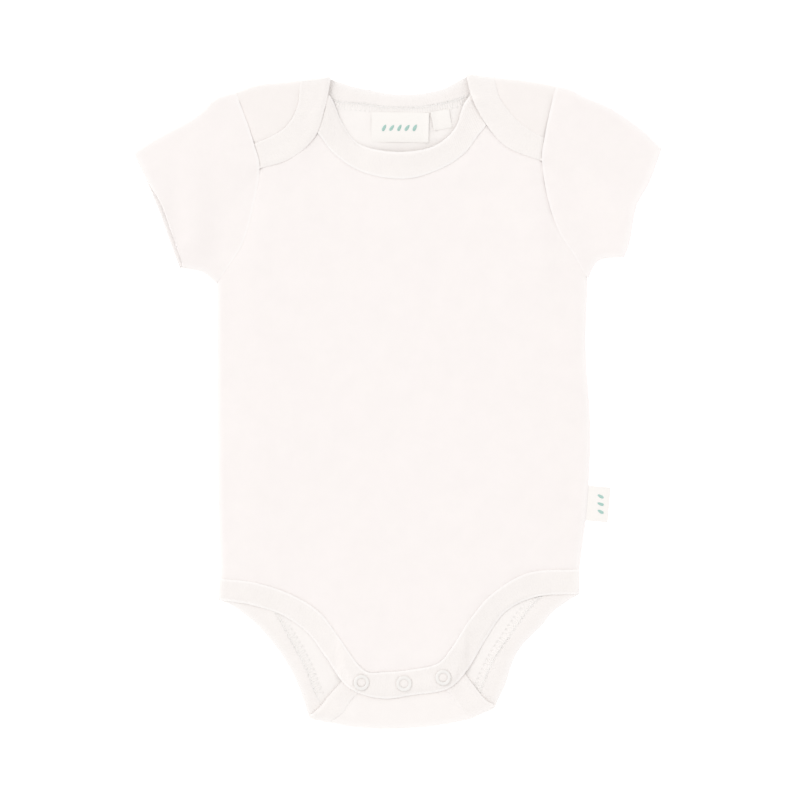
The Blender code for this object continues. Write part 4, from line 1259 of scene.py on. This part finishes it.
def sew_leaves(name, label, places, length, turns, z):
    """A row of small satin-stitched leaves: stitches side by side across each of them.

    Their places are from the label's middle, and every other one has the second turn.
    """
    runs = []
    for number, (right, up) in enumerate(places):
        for part in np.linspace(-1, 1, 19):
            half = 0.2 * length * math.sqrt(max(1 - part ** 2, 0)) * (1 - 0.25 * part) + 0.1
            v = half * np.array([-1.0, -0.8, 0.0, 0.8, 1.0])
            u = part * length / 2 + 0.08 * v
            x, y = turned((label[0] + right, label[1] + up), u, v, turns[number % 2])
            runs.append(np.column_stack([x, y, z + np.array([-0.2, 0.0, 0.06, 0.0, -0.2])]))
    add_thread(name, runs, material=MINT_THREAD)


def make_snaps():
    """Open ring caps of the snaps, with a rounded crown and a thin lip inside and outside."""
    outside, inside, crown, brow = 4.65, 2.65, 0.8, 0.42
    middle, half = (outside + inside) / 2, (outside - inside) / 2
    arch = [(middle + half * math.cos(a), brow + (crown - brow) * math.sin(a))
            for a in np.radians(np.linspace(-20, 200, 15))]
    profile = [(middle + half * 0.9, 0.0)] + arch + [(middle - half * 0.9, 0.0)]
    radius, height = np.array(profile).T
    angle = np.linspace(0, FULL, 48, endpoint=False)[:, None]
    angle = np.concatenate([angle, angle[:1]])
    ring = np.dstack([radius * np.cos(angle), radius * np.sin(angle), height + 0 * angle])
    for number, (x, y) in enumerate(SNAPS, 1):
        base = float(front_face(np.array([x]), np.array([y]))[0]) + PROUD - SNAP_SUNK
        points = ring + (x, y, base)
        cap = add_piece(f"snap_cap_{number}", [(points, flat_cut(points), True, True)], PEARL)
        declare(cap, f"snap_ring_{number}", "snap")
        for place in bpy.data.objects[f"snap_stud_{number}"].material_slots:
            place.material = PEARL


def make_labels():
    """Woven labels: neck label, size label and the folded label in the side seam."""
    for name, label, bow, left_rise, right_rise in (
            ("neck_label", NECK_LABEL, 0.4, -0.05, 0.35), ("size_label", SIZE_LABEL, 0.35, 0.7, 0.0)):
        width, height, degrees = label[2:]
        u, v = np.meshgrid(np.linspace(-1, 1, 41), np.linspace(-1, 1, 25))
        z = LABEL_HEIGHT + bow * (1 - v ** 2) * (0.7 + 0.3 * np.cos(2.2 * u + 0.4))
        for rise, from_side in ((left_rise, 1 + u), (right_rise, 1 - u)):
            z = z + rise * bell(from_side * width / 4, 1)
        u, v = u * width / 2, v * height / 2
        points = np.dstack([*turned(label, u, v, degrees), z])
        tape = add_piece(f"{name}_tape", [(points, np.dstack([u, v]), False, False)], LABEL, LABEL_WALL)
        declare(tape, name, "label", flat=(width * MM, height * MM), held="laid", rests_on=["back_cloth"])
    width, height, degrees = SIDE_LABEL[2:]
    run = np.linspace(0, 1, 20)
    arc = np.radians(np.linspace(90, -90, 9))[1:-1]
    far, start = width / 2 - LOOP_RADIUS, -width / 2 - CAUGHT
    outwards = (far - start) * run
    u = np.concatenate([start + outwards, far + LOOP_RADIUS * np.cos(arc), far - outwards])
    upper = 2 * LOOP_RADIUS + LOOP_BOW * np.sin(math.pi * run) ** 0.7
    z = np.concatenate([upper, LOOP_RADIUS * (1 + np.sin(arc)), 0 * run])
    cut = lengths_along(np.column_stack([u, z]))
    v = np.linspace(-1, 1, 13)[:, None] * height / 2
    points = np.dstack([*turned(SIDE_LABEL, u, v, degrees), z + 0 * v])
    tape = add_piece("side_label_tape", [(points, np.dstack([cut + 0 * v, v + 0 * u]), False, False)],
                     LABEL, LABEL_WALL)
    declare(tape, "side_label", "label", flat=(0.0285, height * MM), held="folded", rests_on=["floor"])


# The picture: floor, camera and light

VIEW_CENTRE = (1.5, 0.9)   # middle of the view in the tables' x and y
VIEW_WIDTH = 480.0
CAMERA_HEIGHT = 3.0        # metres above the surface
SENSOR = 36.0
WORLD_STRENGTH = 0.96
KEY_STRENGTH = 0.5
KEY_SOFTNESS = 30.0        # degrees
KEY_DIRECTION = (-0.6, 0.4, 0.75)   # from the garment to the key light
FLOOR_HALF = 2.0           # metres
FLOOR_DROP = 0.0002


def make_floor():
    """White surface that the garment lies on; it glows a little, as a lit table does."""
    mesh = bpy.data.meshes.new("floor")
    corners = [(x * FLOOR_HALF, y * FLOOR_HALF, 0) for x, y in ((-1, -1), (1, -1), (1, 1), (-1, 1))]
    mesh.from_pydata(corners, [], [(0, 1, 2, 3)])
    floor = add_object("floor", mesh)
    floor.location.z = -FLOOR_DROP
    mesh.materials.append(Shader("floor_white").finish({
        "Base Color": (0.7, 0.7, 0.7, 1), "Roughness": 1.0, "Specular IOR Level": 0.0,
        "Emission Color": (1, 1, 1, 1), "Emission Strength": 1.0,
    }))


def make_camera():
    """Camera straight above the garment."""
    camera = bpy.data.cameras.new("camera")
    camera.sensor_width = SENSOR
    camera.lens = SENSOR * CAMERA_HEIGHT / (VIEW_WIDTH * MM)
    camera.clip_end = 20.0
    stand = add_object("camera", camera)
    stand.location = (*in_frame((*VIEW_CENTRE, 0))[:2], CAMERA_HEIGHT)
    bpy.context.scene.camera = stand


def make_light():
    """Even white surroundings, and a soft key light from the upper left."""
    world = bpy.data.worlds.new("surroundings")
    world.use_nodes = True
    background = world.node_tree.nodes["Background"]
    background.inputs["Color"].default_value = (1.0, 1.0, 1.0, 1)
    background.inputs["Strength"].default_value = WORLD_STRENGTH
    bpy.context.scene.world = world
    sun = bpy.data.lights.new("key", "SUN")
    sun.energy = KEY_STRENGTH
    sun.angle = math.radians(KEY_SOFTNESS)
    lamp = add_object("key", sun)
    lamp.rotation_euler = Vector(KEY_DIRECTION).to_track_quat("Z", "Y").to_euler()
    view = bpy.context.scene.view_settings
    view.view_transform = "Standard"
    view.look = "None"
    view.exposure = 0.0
    view.gamma = 1.0


make_front()
make_back()
make_bands()
make_sleeve("sleeve_cloth_left", "sleeve_left", ARMHOLE_LEFT, SHOULDER_LEFT[0], SLEEVE_UNDER_LEFT,
            SLEEVE_TOP_LEFT, CUFF_LEFT, False, 3.0, 101)
make_sleeve("sleeve_cloth_right", "sleeve_right", ARMHOLE_RIGHT, SHOULDER_RIGHT[0], SLEEVE_UNDER_RIGHT,
            SLEEVE_TOP_RIGHT, CUFF_RIGHT, True, 0.2, 111)
make_snaps()
make_labels()
sew_seams()
sew_leaves("neck_label_leaves", NECK_LABEL, [(LEAF_STEP * k - 9.5, -0.4) for k in range(5)],
           length=4.0, turns=(62, 52), z=1.74)
sew_leaves("side_label_leaves", SIDE_LABEL, [(1.2, LEAF_STEP * (k - 1)) for k in range(3)],
           length=3.8, turns=(150, 160), z=1.3)
make_floor()
make_camera()
make_light()
